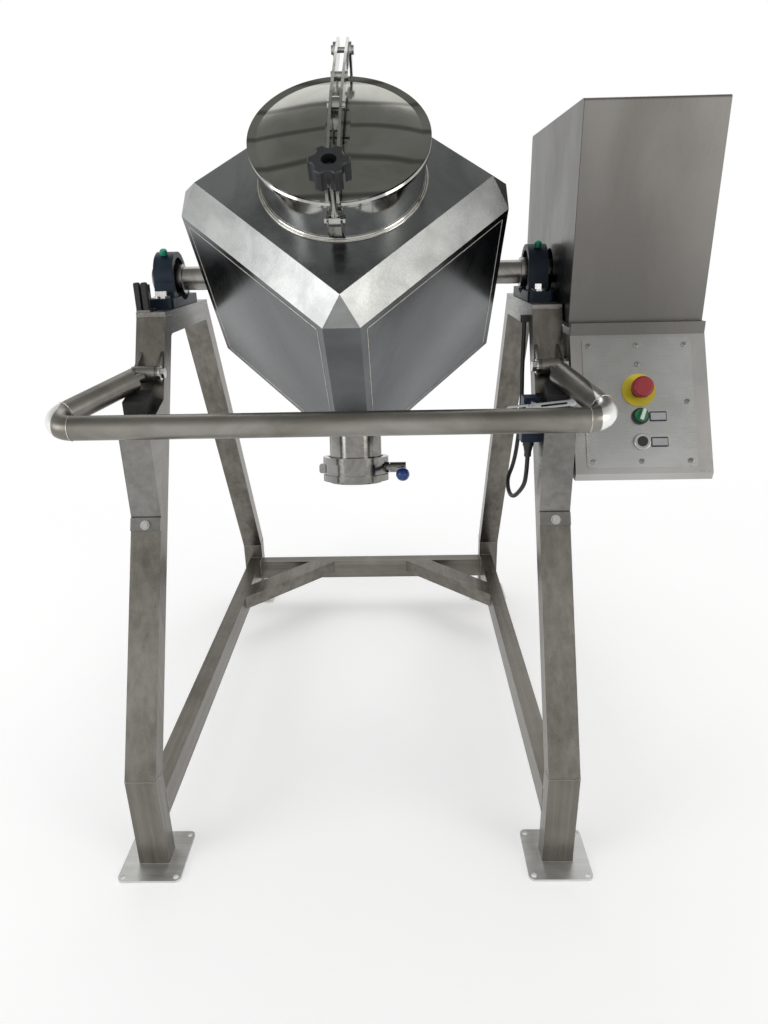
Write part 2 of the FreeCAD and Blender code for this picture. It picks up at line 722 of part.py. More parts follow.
def hinge_plates():
    """Two ears behind the neck that carry the arm's rear pin."""
    ears = []
    y, z = REAR_PIN
    inner = BAR_OUT + 0.5
    for side in SIDES:
        x_range = (side * inner, side * (inner + 5.0))
        web = prism_x([(140.0, 292.0), (160.0, 292.0), (y + 13.0, z - 16.0), (y + 14.0, z), (y - 14.0, z),
                       (RIM_R + 6.0, NECK_TOP - 2.0), (RIM_R - 20.0, NECK_TOP - 14.0)], x_range)
        eye = rod(vec(x_range[0], y, z), vec(x_range[1], y, z), 14.0)
        ear = web.fuse(eye).cut(neck_filled()).cut(pin_along_x(REAR_PIN, 40.0, PIN_R + FIT))
        ears.append(in_lid_frame(ear.removeSplitter()))
    return Part.makeCompound([solid for ear in ears for solid in ear.Solids])


def hinge_pin():
    return in_lid_frame(headed_pin(REAR_PIN, BAR_OUT + 5.5, PIN_R))


def clamp_bracket():
    """The U-shaped keeper on the neck's front; its cheeks are open at the top for the cross pin."""
    y, z = CLAMP_PIN
    outline = [(-140.0, 268.0), (-172.0, 268.0), (-189.0, 296.0), (-189.0, z + 6.0), (-140.0, z + 6.0)]
    outside = prism_x(outline, (-13.5, 13.5))
    inside = block((-10.5, 10.5), (-200.0, -130.0), (271.0, 340.0))
    slot_r = PIN_R + 0.3
    slot = prism_x([(y - slot_r, z), (y + slot_r, z), (y + slot_r, z + 20.0), (y - slot_r - 5.0, z + 20.0)],
                   (-20.0, 20.0))
    bracket = cut_all(outside, [inside, slot, pin_along_x(CLAMP_PIN, 20.0, slot_r), neck_filled()])
    return in_lid_frame(bracket)


def clamp_bolt():
    """The swing bolt: an eye on a cross pin and a long shank up through the fork."""
    y, z = CLAMP_PIN
    eye = rod(vec(-10.0, y, z), vec(10.0, y, z), 10.5)
    pin = headed_pin(CLAMP_PIN, 14.3, PIN_R)
    shank = rod(vec(0.0, y, z), vec(0.0, y, FORK_TOP + BOLT_REACH), CLAMP_BOLT_R)
    return in_lid_frame(fuse_all([eye, pin, shank]))


def star_knob():
    """A six-lobed knob with a sunk centre, on a washer over the fork."""
    y = CLAMP_PIN[0]
    bottom = FORK_TOP + SEAL_GAP + WASHER_T + SEAL_GAP
    top = bottom + KNOB_H
    knob = rod(vec(0.0, 0.0, bottom), vec(0.0, 0.0, top), KNOB_R)
    for lobe in range(KNOB_LOBES):
        angle = math.radians(360.0 / KNOB_LOBES * (lobe + 0.5))
        reach = KNOB_R + 0.42 * KNOB_SCALLOP_R
        centre = vec(reach * math.cos(angle), reach * math.sin(angle), bottom - 1.0)
        knob = knob.cut(rod(centre, centre.add(vec(0.0, 0.0, KNOB_H + 2.0)), KNOB_SCALLOP_R))
    skirt = ring(vec(0.0, 0.0, bottom - 1.0), vec(0.0, 0.0, bottom + 0.55 * KNOB_H), KNOB_R - 7.0, WASHER_R)
    knob = knob.cut(skirt)
    sunk = rod(vec(0.0, 0.0, top - KNOB_SINK_DEPTH), vec(0.0, 0.0, top + 1.0), KNOB_SINK_R)
    knob = knob.cut(sunk).cut(rod(vec(0.0, 0.0, bottom - 1.0), vec(0.0, 0.0, top), CLAMP_BOLT_R + THREAD_GAP))
    outer = [edge for edge in knob.Edges
             if abs(edge.BoundBox.ZMin - top) < 0.01 and abs(edge.BoundBox.ZMax - top) < 0.01
             and edge.CenterOfMass.sub(vec(0.0, 0.0, top)).Length > KNOB_SINK_R + 2.0]
    knob = knob.makeChamfer(2.0, outer)
    knob.translate(vec(0.0, y, 0.0))
    return in_lid_frame(knob)


def knob_washer():
    y = CLAMP_PIN[0]
    low = FORK_TOP + SEAL_GAP
    return in_lid_frame(ring(vec(0.0, y, low), vec(0.0, y, low + WASHER_T), WASHER_R, CLAMP_BOLT_R + PIN_GAP))


# Outlet

def outlet_tube():
    """The short outlet, coped to the three faces that meet at the cube's lowest corner."""
    tube = ring(vec(0.0, 0.0, -300.0), vec(0.0, 0.0, -OUTLET_END), OUTLET_R, OUTLET_R - OUTLET_WALL)
    flange = ring(vec(0.0, 0.0, 6.0 - OUTLET_END), vec(0.0, 0.0, -OUTLET_END), FERRULE_R,
                  OUTLET_R - OUTLET_WALL)
    coped = in_outlet_frame(tube.fuse(flange).removeSplitter()).cut(cube_outside())
    return max(coped.Solids, key=lambda solid: solid.Volume)


def valve_gaskets():
    rings = []
    for top, low in ((OUTLET_END, VALVE_TOP), (VALVE_BOTTOM, VALVE_BOTTOM + 2.0)):
        rings.append(ring(vec(0.0, 0.0, -top), vec(0.0, 0.0, -low), FERRULE_R - 3.0, OUTLET_R - OUTLET_WALL))
    return in_outlet_frame(Part.makeCompound(rings))


def valve_body():
    """The valve ring, with a boss for the spindle and a hinge lug on the other side."""
    body = ring(vec(0.0, 0.0, -VALVE_TOP), vec(0.0, 0.0, -VALVE_BOTTOM), VALVE_R, VALVE_BORE_R)
    boss = rod(vec(VALVE_R - 8.0, 0.0, -VALVE_MID), vec(VALVE_R + 6.0, 0.0, -VALVE_MID), 12.5)
    lug = block((-VALVE_R - 13.0, -VALVE_R + 8.0), (-9.0, 9.0), (6.0 - VALVE_BOTTOM, -6.0 - VALVE_TOP))
    lug = lug.makeFillet(6.0, edges_along(lug, Y_AXIS, lambda point: point.x < -VALVE_R - 10.0))
    bore = rod(vec(0.0, 0.0, 1.0 - VALVE_TOP), vec(0.0, 0.0, -VALVE_BOTTOM - 1.0), VALVE_BORE_R)
    seat = rod(vec(0.0, 0.0, -VALVE_MID), vec(VALVE_R + 20.0, 0.0, -VALVE_MID), SPINDLE_R + PIN_GAP)
    tail = rod(vec(0.0, 0.0, -VALVE_MID), vec(-VALVE_R + 6.0, 0.0, -VALVE_MID), SPINDLE_R + PIN_GAP)
    body = cut_all(fuse_all([body, boss, lug]), [bore, seat, tail])
    return in_outlet_frame(body)


def outlet_clamps():
    """The two clamp bands that hold the valve between the ferrules."""
    upper = clamp_band(OUTLET_END - 6.0, VALVE_TOP + 4.0, True)
    lower = clamp_band(VALVE_BOTTOM - 4.0, VALVE_BOTTOM + 8.0, False)
    return in_outlet_frame(group([upper, lower]))


def clamp_band(top, low, lip_on_top):
    """A ring round the valve's edge with a lip that hooks over the ferrule's flange."""
    outer = VALVE_R + 4.0
    band = ring(vec(0.0, 0.0, -top), vec(0.0, 0.0, -low), outer, VALVE_R + FIT)
    lip = (top - 2.5, top) if lip_on_top else (low, low + 2.5)
    hook = ring(vec(0.0, 0.0, -lip[0]), vec(0.0, 0.0, -lip[1]), outer, OUTLET_R + 4.0)
    return band.fuse(hook).removeSplitter()


def outlet_ferrule():
    """The lower ferrule: a flange and the open end of the outlet."""
    top = VALVE_BOTTOM + 2.0
    flange = ring(vec(0.0, 0.0, -top), vec(0.0, 0.0, -top - 6.0), FERRULE_R, FERRULE_BORE_R)
    tube = ring(vec(0.0, 0.0, -top), vec(0.0, 0.0, -FERRULE_END), OUTLET_R, FERRULE_BORE_R)
    return in_outlet_frame(flange.fuse(tube).removeSplitter())


def valve_disc():
    """The disc with its rounded edge, its spindle and the lever hub, all in one turning piece."""
    disc = rod(vec(0.0, 0.0, -VALVE_MID - DISC_T / 2.0), vec(0.0, 0.0, -VALVE_MID + DISC_T / 2.0), DISC_R)
    tail = -VALVE_R + 10.0
    spindle = rod(vec(tail, 0.0, -VALVE_MID), vec(LEVER_HUB_X, 0.0, -VALVE_MID), SPINDLE_R)
    return in_outlet_frame(disc.fuse(spindle).removeSplitter())


def lever_direction():
    """From the spindle towards the ball, in the machine's frame."""
    return vec(0.0, -0.995, 0.1)


def valve_lever():
    """The lever hub on the spindle and the thin rod to the ball."""
    low = VALVE_R + 7.0
    hub = in_outlet_frame(rod(vec(low, 0.0, -VALVE_MID), vec(LEVER_HUB_X + 20.0, 0.0, -VALVE_MID), 12.0))
    hole = in_outlet_frame(rod(vec(low - 1.0, 0.0, -VALVE_MID), vec(LEVER_HUB_X, 0.0, -VALVE_MID),
                               SPINDLE_R + FIT))
    start = lever_root()
    arm = rod(start, start.add(lever_direction().multiply(74.0)), 5.0)
    return fuse_all([hub, arm]).cut(hole)


def lever_root():
    turn = math.radians(VESSEL_TURN)
    return vec(LEVER_HUB_X + 12.0, VALVE_MID * math.sin(turn), SHAFT_Z - VALVE_MID * math.cos(turn))


def lever_ball():
    centre = lever_root().add(lever_direction().multiply(80.0))
    ball = Part.makeSphere(LEVER_BALL_R, centre)
    start = lever_root()
    return ball.cut(rod(start, start.add(lever_direction().multiply(74.0)), 5.0 + FIT))


# Guard bar

def guard_points():
    return [vec(-GUARD_EYE_X, GUARD_PIVOT_Y, GUARD_PIVOT_Z), vec(GUARD_LEFT_X, GUARD_BAR_Y, GUARD_BAR_Z),
            vec(GUARD_RIGHT_X, GUARD_BAR_Y, GUARD_BAR_Z), vec(GUARD_EYE_X, GUARD_PIVOT_Y, GUARD_PIVOT_Z)]


def unit(vector):
    return vec(vector.x, vector.y, vector.z).normalize()


def rounded_path(points, radii):
    """Straight runs joined by arcs that touch both runs."""
    edges = []
    start = points[0]
    for index in range(1, len(points) - 1):
        corner = points[index]
        back = unit(points[index - 1].sub(corner))
        ahead = unit(points[index + 1].sub(corner))
        half_turn = (math.pi - back.getAngle(ahead)) / 2.0
        setback = radii[index - 1] * math.tan(half_turn)
        first = corner.add(vec(back.x, back.y, back.z).multiply(setback))
        last = corner.add(vec(ahead.x, ahead.y, ahead.z).multiply(setback))
        inward = unit(back.add(ahead))
        bow = radii[index - 1] / math.cos(half_turn) - radii[index - 1]
        middle = corner.add(vec(inward.x, inward.y, inward.z).multiply(bow))
        edges.append(Part.LineSegment(start, first).toShape())
        edges.append(Part.Arc(first, middle, last).toShape())
        start = last
    edges.append(Part.LineSegment(start, points[-1]).toShape())
    return Part.Wire(edges)


def swept_tube(path, radius):
    start = path.Edges[0].Vertexes[0].Point
    direction = path.Edges[0].tangentAt(path.Edges[0].FirstParameter)
    circle = Part.Wire(Part.makeCircle(radius, start, direction))
    return path.makePipeShell([circle], True, True)


def guard_bar():
    """A bent tube whose two arms end in barrels for the hinge pins."""
    points = guard_points()
    gap = GUARD_EYE_R + GUARD_NECK
    points[0] = points[0].add(unit(points[1].sub(points[0])).multiply(gap))
    points[3] = points[3].add(unit(points[2].sub(points[3])).multiply(gap))
    path = rounded_path(points, [GUARD_ELBOW_R, GUARD_ELBOW_R])
    pieces = [swept_tube(path, GUARD_R).cut(swept_tube(path, GUARD_R - GUARD_WALL))]
    ends = guard_points()
    for side, end, mate in ((-1.0, ends[0], ends[1]), (1.0, ends[3], ends[2])):
        half = GUARD_EYE_W / 2.0
        barrel = rod(end.sub(vec(half, 0.0, 0.0)), end.add(vec(half, 0.0, 0.0)), GUARD_EYE_R)
        toward = unit(mate.sub(end))
        cap = rod(end.add(vec(toward.x, toward.y, toward.z).multiply(gap)),
                  end.add(vec(toward.x, toward.y, toward.z).multiply(gap + 4.0)), GUARD_R)
        neck_rod = rod(end, end.add(vec(toward.x, toward.y, toward.z).multiply(gap + 2.0)), GUARD_NECK_R)
        pieces.extend([barrel, cap, neck_rod])
    bar = fuse_all(pieces)
    for end in (ends[0], ends[3]):
        bar = bar.cut(rod(end.sub(vec(40.0, 0.0, 0.0)), end.add(vec(40.0, 0.0, 0.0)), GUARD_PIN_R + PIN_GAP))
    return bar


def guard_lugs():
    """A pair of ears on each front leg for the guard's hinge pin."""
    lugs = []
    y, z = GUARD_PIVOT_Y, GUARD_PIVOT_Z
    face_high = z + 36.0
    face_low = z - 22.0
    inner = GUARD_EYE_W / 2.0 + 0.6
    for side in SIDES:
        for shift in SIDES:
            centre_x = side * GUARD_EYE_X
            x_range = (centre_x + shift * inner, centre_x + shift * (inner + LUG_T))
            plate = prism_x([(-leg_slope_y(face_high, 0.0), face_high), (-leg_slope_y(face_low, 0.0), face_low),
                             (y - 6.0, z - 12.0), (y - 12.0, z + 7.0)], x_range)
            eye = rod(vec(x_range[0], y, z), vec(x_range[1], y, z), 13.0)
            leg_back = prism_x([(-leg_slope_y(face_high + 40.0, 0.0), face_high + 40.0),
                                (-leg_slope_y(face_low - 40.0, 0.0), face_low - 40.0),
                                (-leg_slope_y(face_low - 40.0, LEG_D), face_low - 40.0),
                                (-leg_slope_y(face_high + 40.0, LEG_D), face_high + 40.0)], x_range)
            hole = rod(vec(centre_x - 40.0, y, z), vec(centre_x + 40.0, y, z), GUARD_PIN_R + FIT)
            lugs.append(plate.fuse(eye).cut(leg_back).cut(hole).removeSplitter())
    return Part.makeCompound([solid for lug in lugs for solid in lug.Solids])


def guard_pins():
    """Hexagon bolts through the ears and the guard's barrels."""
    pins = []
    reach = GUARD_EYE_W / 2.0 + 0.6 + LUG_T
    for side in SIDES:
        head = vec(side * (GUARD_EYE_X - reach), GUARD_PIVOT_Y, GUARD_PIVOT_Z)
        tail = vec(side * (GUARD_EYE_X + reach), GUARD_PIVOT_Y, GUARD_PIVOT_Z)
        bolt = hex_bolt(head, vec(-side, 0.0, 0.0), GUARD_PIN_R, 2.0 * reach + 1.0, 19.0, 7.5)
        nut = hex_bolt(tail, vec(side, 0.0, 0.0), GUARD_PIN_R, 1.0, 19.0, 6.5)
        pins.append(bolt.fuse(nut).removeSplitter())
    return Part.makeCompound(pins)


def guard_slope():
    return (GUARD_PIVOT_Z - GUARD_BAR_Z) / (GUARD_PIVOT_Y - GUARD_BAR_Y)


def stop_top_z(y):
    """Height of the stop bracket's sloping top, parallel to the guard's arms."""
    return STOP_TOP_Z + (y - STOP_Y) * guard_slope()


def arm_underside_z(y):
    rise = math.sqrt(1.0 + guard_slope() ** 2)
    return GUARD_PIVOT_Z + (y - GUARD_PIVOT_Y) * guard_slope() - GUARD_R * rise


def stop_face_y():
    """Where the stop bracket's sloping top meets the leg's front face."""
    y = STOP_Y
    for _ in range(40):
        y = -leg_slope_y(stop_top_z(y), 0.0)
    return y


def stop_bracket(side):
    """A wedge of folded plate on the front leg with a bolted foot flange."""
    x_range = (side * LEG_IN_X, side * LEG_OUT_X)
    face_y = stop_face_y()
    low_y = -leg_slope_y(STOP_BOTTOM_Z, 0.0)
    outline = [(low_y, STOP_BOTTOM_Z), (STOP_Y, STOP_BOTTOM_Z + 1.0), (STOP_Y, STOP_TOP_Z),
               (face_y, stop_top_z(face_y))]
    outside = prism_x(outline, x_range)
    inside = prism_x([(STOP_Y + STOP_WALL, STOP_BOTTOM_Z - 30.0), (STOP_Y + STOP_WALL, STOP_TOP_Z - 3.0),
                      (face_y + 30.0, stop_top_z(face_y + 30.0) - STOP_WALL), (face_y + 30.0, STOP_BOTTOM_Z - 30.0)],
                     (side * (LEG_IN_X + STOP_WALL), side * (LEG_OUT_X - STOP_WALL)))
    flange_face = [(-leg_slope_y(STOP_FLANGE_Z, 0.0), STOP_FLANGE_Z), (low_y, STOP_BOTTOM_Z)]
    out_y = -STOP_WALL * math.cos(LEG_ANGLE)
    out_z = STOP_WALL * math.sin(LEG_ANGLE)
    flange = prism_x([flange_face[0], flange_face[1], (flange_face[1][0] + out_y, flange_face[1][1] + out_z),
                      (flange_face[0][0] + out_y, flange_face[0][1] + out_z)], x_range)
    bracket = outside.cut(inside).fuse(flange).removeSplitter()
    seat, normal = stop_bolt_seat(side)
    hole = rod(seat.add(vec(0.0, -normal.y, -normal.z).multiply(10.0)),
               seat.add(vec(0.0, normal.y, normal.z).multiply(10.0)), STOP_BOLT_R + 0.5)
    return bracket.cut(hole)


def stop_bolt_seat(side):
    """The middle of the flange's outer face and its outward direction."""
    middle_z = (STOP_FLANGE_Z + STOP_BOTTOM_Z) / 2.0 - 2.0
    normal = vec(0.0, -math.cos(LEG_ANGLE), math.sin(LEG_ANGLE))
    on_face = vec(side * (LEG_IN_X + LEG_W / 2.0), -leg_slope_y(middle_z, 0.0), middle_z)
    return on_face.add(vec(0.0, normal.y, normal.z).multiply(STOP_WALL)), normal


def stop_bolts():
    bolts = []
    for side in SIDES:
        seat, normal = stop_bolt_seat(side)
        bolts.append(hex_bolt(seat, normal, STOP_BOLT_R, STOP_WALL, STOP_BOLT_FLATS, STOP_BOLT_HEAD))
    return Part.makeCompound(bolts)


def stop_pads():
    """Rubber buffers on the stop brackets, just under the guard's arms."""
    pads = []
    for side in SIDES:
        near, far = -318.0, -270.0
        outline = [(near, stop_top_z(near)), (near, arm_underside_z(near) - 0.4),
                   (far, arm_underside_z(far) - 0.4), (far, stop_top_z(far))]
        pad = prism_x(outline, (side * STOP_PAD_X[0], side * STOP_PAD_X[1]))
        pads.append(pad)
    return Part.makeCompound(pads)


# Limit switch

def switch_body():
    body = block(SWITCH_X, SWITCH_Y, SWITCH_Z)
    body = body.makeFillet(2.5, edges_along(body, Z_AXIS, lambda point: point.x < SWITCH_X[0] + 1.0))
    x, z = SWITCH_SHAFT
    head = block((x - 15.0, x + 15.0), SWITCH_Y, (SWITCH_Z[1] - 1.0, z + 13.0))
    nose = rod(vec(x, SWITCH_Y[0] + 1.0, z), vec(x, SWITCH_Y[0] - 8.0, z), 10.0)
    lid_line = block((SWITCH_X[0] - 1.0, SWITCH_X[1] - 4.0), (SWITCH_Y[0] - 1.0, SWITCH_Y[0] + 1.2),
                     (SWITCH_Z[1] - 3.0, SWITCH_Z[1] - 1.8))
    body = fuse_all([body, head, nose]).cut(lid_line)
    return body.cut(rod(vec(x, SWITCH_Y[0] - 10.0, z), vec(x, SWITCH_Y[0] + 15.0, z), 4.0 + PIN_GAP))


def switch_lever():
    """The slotted lever with its shaft and roller."""
    x, z = SWITCH_SHAFT
    half = SWITCH_LEVER_T / 2.0
    y_range = (SWITCH_LEVER_Y - half, SWITCH_LEVER_Y + half)
    length = ROLLER_X - x
    bar = plate_with_y_corners((x - 51.0, x + length + 5.0), y_range, (z - 6.0, z + 6.0), 5.0)
    slot = plate_with_y_corners((x + 14.0, x + length - 10.0), (y_range[0] - 1.0, y_range[1] + 1.0),
                                (z - 2.0, z + 2.0), 1.9)
    tail_slot = plate_with_y_corners((x - 45.0, x - 14.0), (y_range[0] - 1.0, y_range[1] + 1.0),
                                     (z - 2.0, z + 2.0), 1.9)
    shaft = rod(vec(x, SWITCH_LEVER_Y - 7.0, z), vec(x, SWITCH_Y[0] + 14.0, z), 4.0)
    hub = rod(vec(x, SWITCH_LEVER_Y - 5.0, z), vec(x, SWITCH_Y[0] - 8.4, z), 9.0)
    axle = rod(vec(x + length, SWITCH_LEVER_Y - 2.5, z), vec(x + length, SWITCH_LEVER_Y + 10.0, z), 2.5)
    lever = fuse_all([bar.cut(slot).cut(tail_slot), shaft, hub, axle])
    lever.rotate(vec(x, SWITCH_LEVER_Y, z), Y_AXIS, -lever_tilt())
    return lever


def plate_with_y_corners(x_range, y_range, z_range, radius):
    plate = block(x_range, y_range, z_range)
    return plate.makeFillet(radius, edges_along(plate, Y_AXIS))


def lever_tilt():
    """The lever's slope when the guard's arm holds its roller down."""
    x, z = SWITCH_SHAFT
    roller_z = arm_underside_z(SWITCH_LEVER_Y + 2.0) - ROLLER_R - 0.6
    return math.degrees(math.asin((roller_z - z) / (ROLLER_X - x)))


def switch_roller():
    x, z = SWITCH_SHAFT
    length = ROLLER_X - x
    roller = ring(vec(x + length, SWITCH_LEVER_Y + 2.0, z), vec(x + length, SWITCH_LEVER_Y + 9.0, z), ROLLER_R,
                  2.5 + FIT)
    roller.rotate(vec(x, SWITCH_LEVER_Y, z), Y_AXIS, -lever_tilt())
    return roller


def switch_gland():
    x = sum(SWITCH_X) / 2.0
    y = sum(SWITCH_Y) / 2.0
    top = SWITCH_Z[0]
    nut = Part.makeCylinder(11.0, 10.0, vec(x, y, top - 10.0))
    dome = Part.makeCone(7.0, 10.0, 14.0, vec(x, y, top - 24.0))
    collar = Part.makeCylinder(7.0, 9.0, vec(x, y, top - 33.0))
    gland = fuse_all([nut, dome, collar])
    return gland.cut(Part.makeCylinder(CABLE_R + FIT, 34.0, vec(x, y, top - 33.5)))


def cable_points():
    x = sum(SWITCH_X) / 2.0
    y = sum(SWITCH_Y) / 2.0
    top = SWITCH_Z[0] - 33.0
    return [vec(x, y, top), vec(x, y, top - 38.0), vec(x - 2.0, y + 15.0, top - 71.0),
            vec(x - 19.0, y + 55.0, top - 112.0), vec(x - 21.0, y + 120.0, top - 91.0),
            vec(x - 1.0, y + 140.0, top - 54.0), vec(x + 3.0, y + 120.0, top + 33.0),
            vec(x + 9.0, y + 145.0, top + 93.0), vec(x + 10.5, y + 168.0, top + 148.0),
            vec(x + 10.5, y + 168.0, HEAD_Z - 30.0)]


def cable_radii(points):
    radii = []
    for index in range(1, len(points) - 1):
        back = points[index - 1].sub(points[index])
        ahead = points[index + 1].sub(points[index])
        half_turn = (math.pi - back.getAngle(ahead)) / 2.0
        radii.append(0.45 * min(back.Length, ahead.Length) / math.tan(half_turn))
    return radii


def switch_cable():
    points = cable_points()
    radii = cable_radii(points)
    path = rounded_path(points, radii)
    cable = swept_tube(path, CABLE_R)
    return cable


def cable_grommet():
    """The bush in the leg head's inner plate where the cable goes in."""
    end = cable_points()[-1]
    top = block((end.x - 8.0, LEG_IN_X), (end.y - 8.0, end.y + 8.0), (end.z, end.z + 14.0))
    return top.makeFillet(3.0, edges_along(top, Z_AXIS, lambda point: point.x < end.x))


# Drive cover, control box and drive

def cover_tray():
    """The flanged floor of the drive cover, welded to the right leg head."""
    floor = block((LEG_OUT_X, COVER_X[1]), (TRAY_Y, COVER_Y[1]), (COVER_Z[0] - 7.0, COVER_Z[0]))
    skirts = [block((COVER_X[0], COVER_X[1]), (TRAY_Y, TRAY_Y + COVER_T), (TRAY_Z, COVER_Z[0] - 1.0)),
              block((COVER_X[1] - COVER_T, COVER_X[1]), (TRAY_Y, COVER_Y[1]), (TRAY_Z, COVER_Z[0] - 1.0)),
              block((COVER_X[0], COVER_X[1]), (COVER_Y[1] - COVER_T, COVER_Y[1]), (TRAY_Z, COVER_Z[0] - 1.0))]
    return fuse_all([floor] + skirts)


def drive_cover():
    """A box of folded sheet, open below, with a hole for the shaft."""
    outside = block(COVER_X, COVER_Y, COVER_Z)
    folds = edges_along(outside, X_AXIS, lambda point: point.z > COVER_Z[1] - 1.0)
    outside = outside.makeFillet(6.0, folds)
    inside = block((COVER_X[0] + COVER_T, COVER_X[1] - COVER_T), (COVER_Y[0] + COVER_T, COVER_Y[1] - COVER_T),
                   (COVER_Z[0] - 1.0, COVER_Z[1] - COVER_T))
    hole = rod(vec(COVER_X[0] - 5.0, 0.0, SHAFT_Z), vec(COVER_X[0] + 20.0, 0.0, SHAFT_Z), 48.0)
    return outside.cut(inside).cut(hole)


def box_outline(inset):
    """The control box from the side: a sloping front with a small lip below it."""
    front = math.hypot(PANEL_TOP[0] - PANEL_BOTTOM[0], PANEL_TOP[1] - PANEL_BOTTOM[1])
    normal_y = -(PANEL_TOP[1] - PANEL_BOTTOM[1]) / front
    normal_z = (PANEL_TOP[0] - PANEL_BOTTOM[0]) / front
    shift_y = -inset * normal_y
    shift_z = -inset * normal_z
    return [(PANEL_TOP[0] + shift_y, PANEL_TOP[1] - inset), (PANEL_BOTTOM[0] + shift_y, PANEL_BOTTOM[1] + shift_z),
            (PANEL_BOTTOM[0] + BOX_LIP + shift_y, BOX_BOTTOM_Z + inset), (BOX_BACK_Y + inset * 2.0, BOX_BOTTOM_Z + inset),
            (BOX_BACK_Y + inset * 2.0, PANEL_TOP[1] - inset)]


def control_box():
    outside = prism_x(box_outline(0.0), COVER_X)
    inside = prism_x(box_outline(COVER_T), (COVER_X[0] + COVER_T, COVER_X[1] - COVER_T))
    return cut_all(outside.cut(inside), operator_holes())


def operator_holes():
    holes = []
    for x, v in (STOP_CENTRE, SELECTOR_CENTRE, BUTTON_CENTRE):
        holes.append(in_panel_frame(Part.makeCylinder(OPERATOR_HOLE_R, 20.0, vec(x, -v, -10.0))))
    return holes


def control_box_back():
    """The screwed rear cover of the control box."""
    return block(COVER_X, (BOX_BACK_Y, BOX_BACK_Y + COVER_T), (BOX_BOTTOM_Z, PANEL_TOP[1]))


def box_brackets():
    """Two straps that tie the control box to the outer face of the right front leg."""
    straps = []
    for z in (760.0, 900.0):
        leg_front = -leg_slope_y(z, 0.0)
        straps.append(block((LEG_OUT_X, COVER_X[0]), (leg_front + 6.0, leg_front + 34.0), (z, z + 40.0)))
    return Part.makeCompound(straps)


def panel_plate():
    plate = plate_with_corners(PANEL_X, (-PANEL_V[1], -PANEL_V[0]), (0.0, PANEL_T), PANEL_CORNER_R)
    return cut_all(in_panel_frame(plate), operator_holes())


def screw_places():
    return [(33.7, 22.5), (126.0, 22.5), (218.5, 22.5), (126.0, 60.0), (218.5, 136.0), (33.7, 136.0),
            (33.7, 251.5), (126.0, 251.5), (218.5, 251.5)]


def panel_screws():
    screws = []
    for x, v in screw_places():
        head = Part.makeCylinder(SCREW_R, 2.8, vec(x, -v, PANEL_T))
        head = head.makeFillet(1.6, [edge for edge in head.Edges if edge.BoundBox.ZMin > PANEL_T + 2.0])
        socket = Part.makeCylinder(1.8, 2.0, vec(x, -v, PANEL_T + 1.4))
        screws.append(in_panel_frame(head.cut(socket)))
    return Part.makeCompound(screws)


def stop_disc():
    x, v = STOP_CENTRE
    disc = Part.makeCylinder(32.5, 1.5, vec(x, -v, PANEL_T))
    return in_panel_frame(disc.cut(Part.makeCylinder(OPERATOR_HOLE_R, 4.0, vec(x, -v, PANEL_T - 1.0))))


def stop_collar():
    x, v = STOP_CENTRE
    low = PANEL_T + 1.5
    collar = Part.makeCylinder(15.0, 7.0, vec(x, -v, low))
    throat = Part.makeCylinder(OPERATOR_THROAT_R, 24.0, vec(x, -v, low - 23.0))
    hole = Part.makeCylinder(7.0 + RUNNING_FIT, 40.0, vec(x, -v, low - 30.0))
    return in_panel_frame(collar.fuse(throat).removeSplitter().cut(hole))


def stop_head():
    """The mushroom head and its stem."""
    x, v = STOP_CENTRE
    low = PANEL_T + 1.5 + 7.0 + STOP_STROKE + 5.0
    head = Part.makeCylinder(20.0, 15.0, vec(x, -v, low))
    head = head.makeFillet(6.0, [edge for edge in head.Edges if edge.BoundBox.ZMin > low + 14.0])
    skirt = Part.makeCone(15.5, 20.0, 4.0, vec(x, -v, low - 4.0))
    stem = Part.makeCylinder(7.0, 32.0, vec(x, -v, low - 31.0))
    return in_panel_frame(fuse_all([head, skirt, stem]))


def bezel(centre, height):
    x, v = centre
    collar = Part.makeCylinder(BEZEL_R, height, vec(x, -v, PANEL_T))
    collar = collar.makeFillet(1.5, [edge for edge in collar.Edges if edge.BoundBox.ZMin > PANEL_T + 1.0])
    throat = Part.makeCylinder(OPERATOR_THROAT_R, 24.0, vec(x, -v, PANEL_T - 23.0))
    hole = Part.makeCylinder(10.0, 60.0, vec(x, -v, PANEL_T - 30.0))
    return in_panel_frame(collar.fuse(throat).removeSplitter().cut(hole))


def selector_knob():
    """The turning knob: a round base with a raised grip bar."""
    x, v = SELECTOR_CENTRE
    base = Part.makeCylinder(10.0 - RUNNING_FIT, 24.0, vec(x, -v, PANEL_T - 16.0))
    cap = Part.makeCylinder(12.5, 3.0, vec(x, -v, PANEL_T + 6.3))
    grip = block((x - 4.5, x + 4.5), (-v - 12.0, -v + 12.0), (PANEL_T + 9.0, PANEL_T + 20.0))
    grip = grip.makeFillet(3.0, edges_along(grip, Z_AXIS))
    grip.rotate(vec(x, -v, 0.0), Z_AXIS, -20.0)
    return in_panel_frame(fuse_all([base, cap, grip]))


def push_button():
    x, v = BUTTON_CENTRE
    cap = Part.makeCylinder(10.0 - RUNNING_FIT, 24.0, vec(x, -v, PANEL_T - 16.0))
    cap = cap.makeFillet(1.0, [edge for edge in cap.Edges if edge.BoundBox.ZMin > PANEL_T + 6.0])
    return in_panel_frame(cap)


def legend_plates():
    plates = []
    for centre in (SELECTOR_CENTRE, BUTTON_CENTRE):
        x, v = centre
        plate = plate_with_corners((x + LEGEND_X[0], x + LEGEND_X[1]), (-v - LEGEND_V[1], -v - LEGEND_V[0]),
                                   (PANEL_T, PANEL_T + 1.5), 2.0)
        plates.append(in_panel_frame(plate))
    return Part.makeCompound(plates)


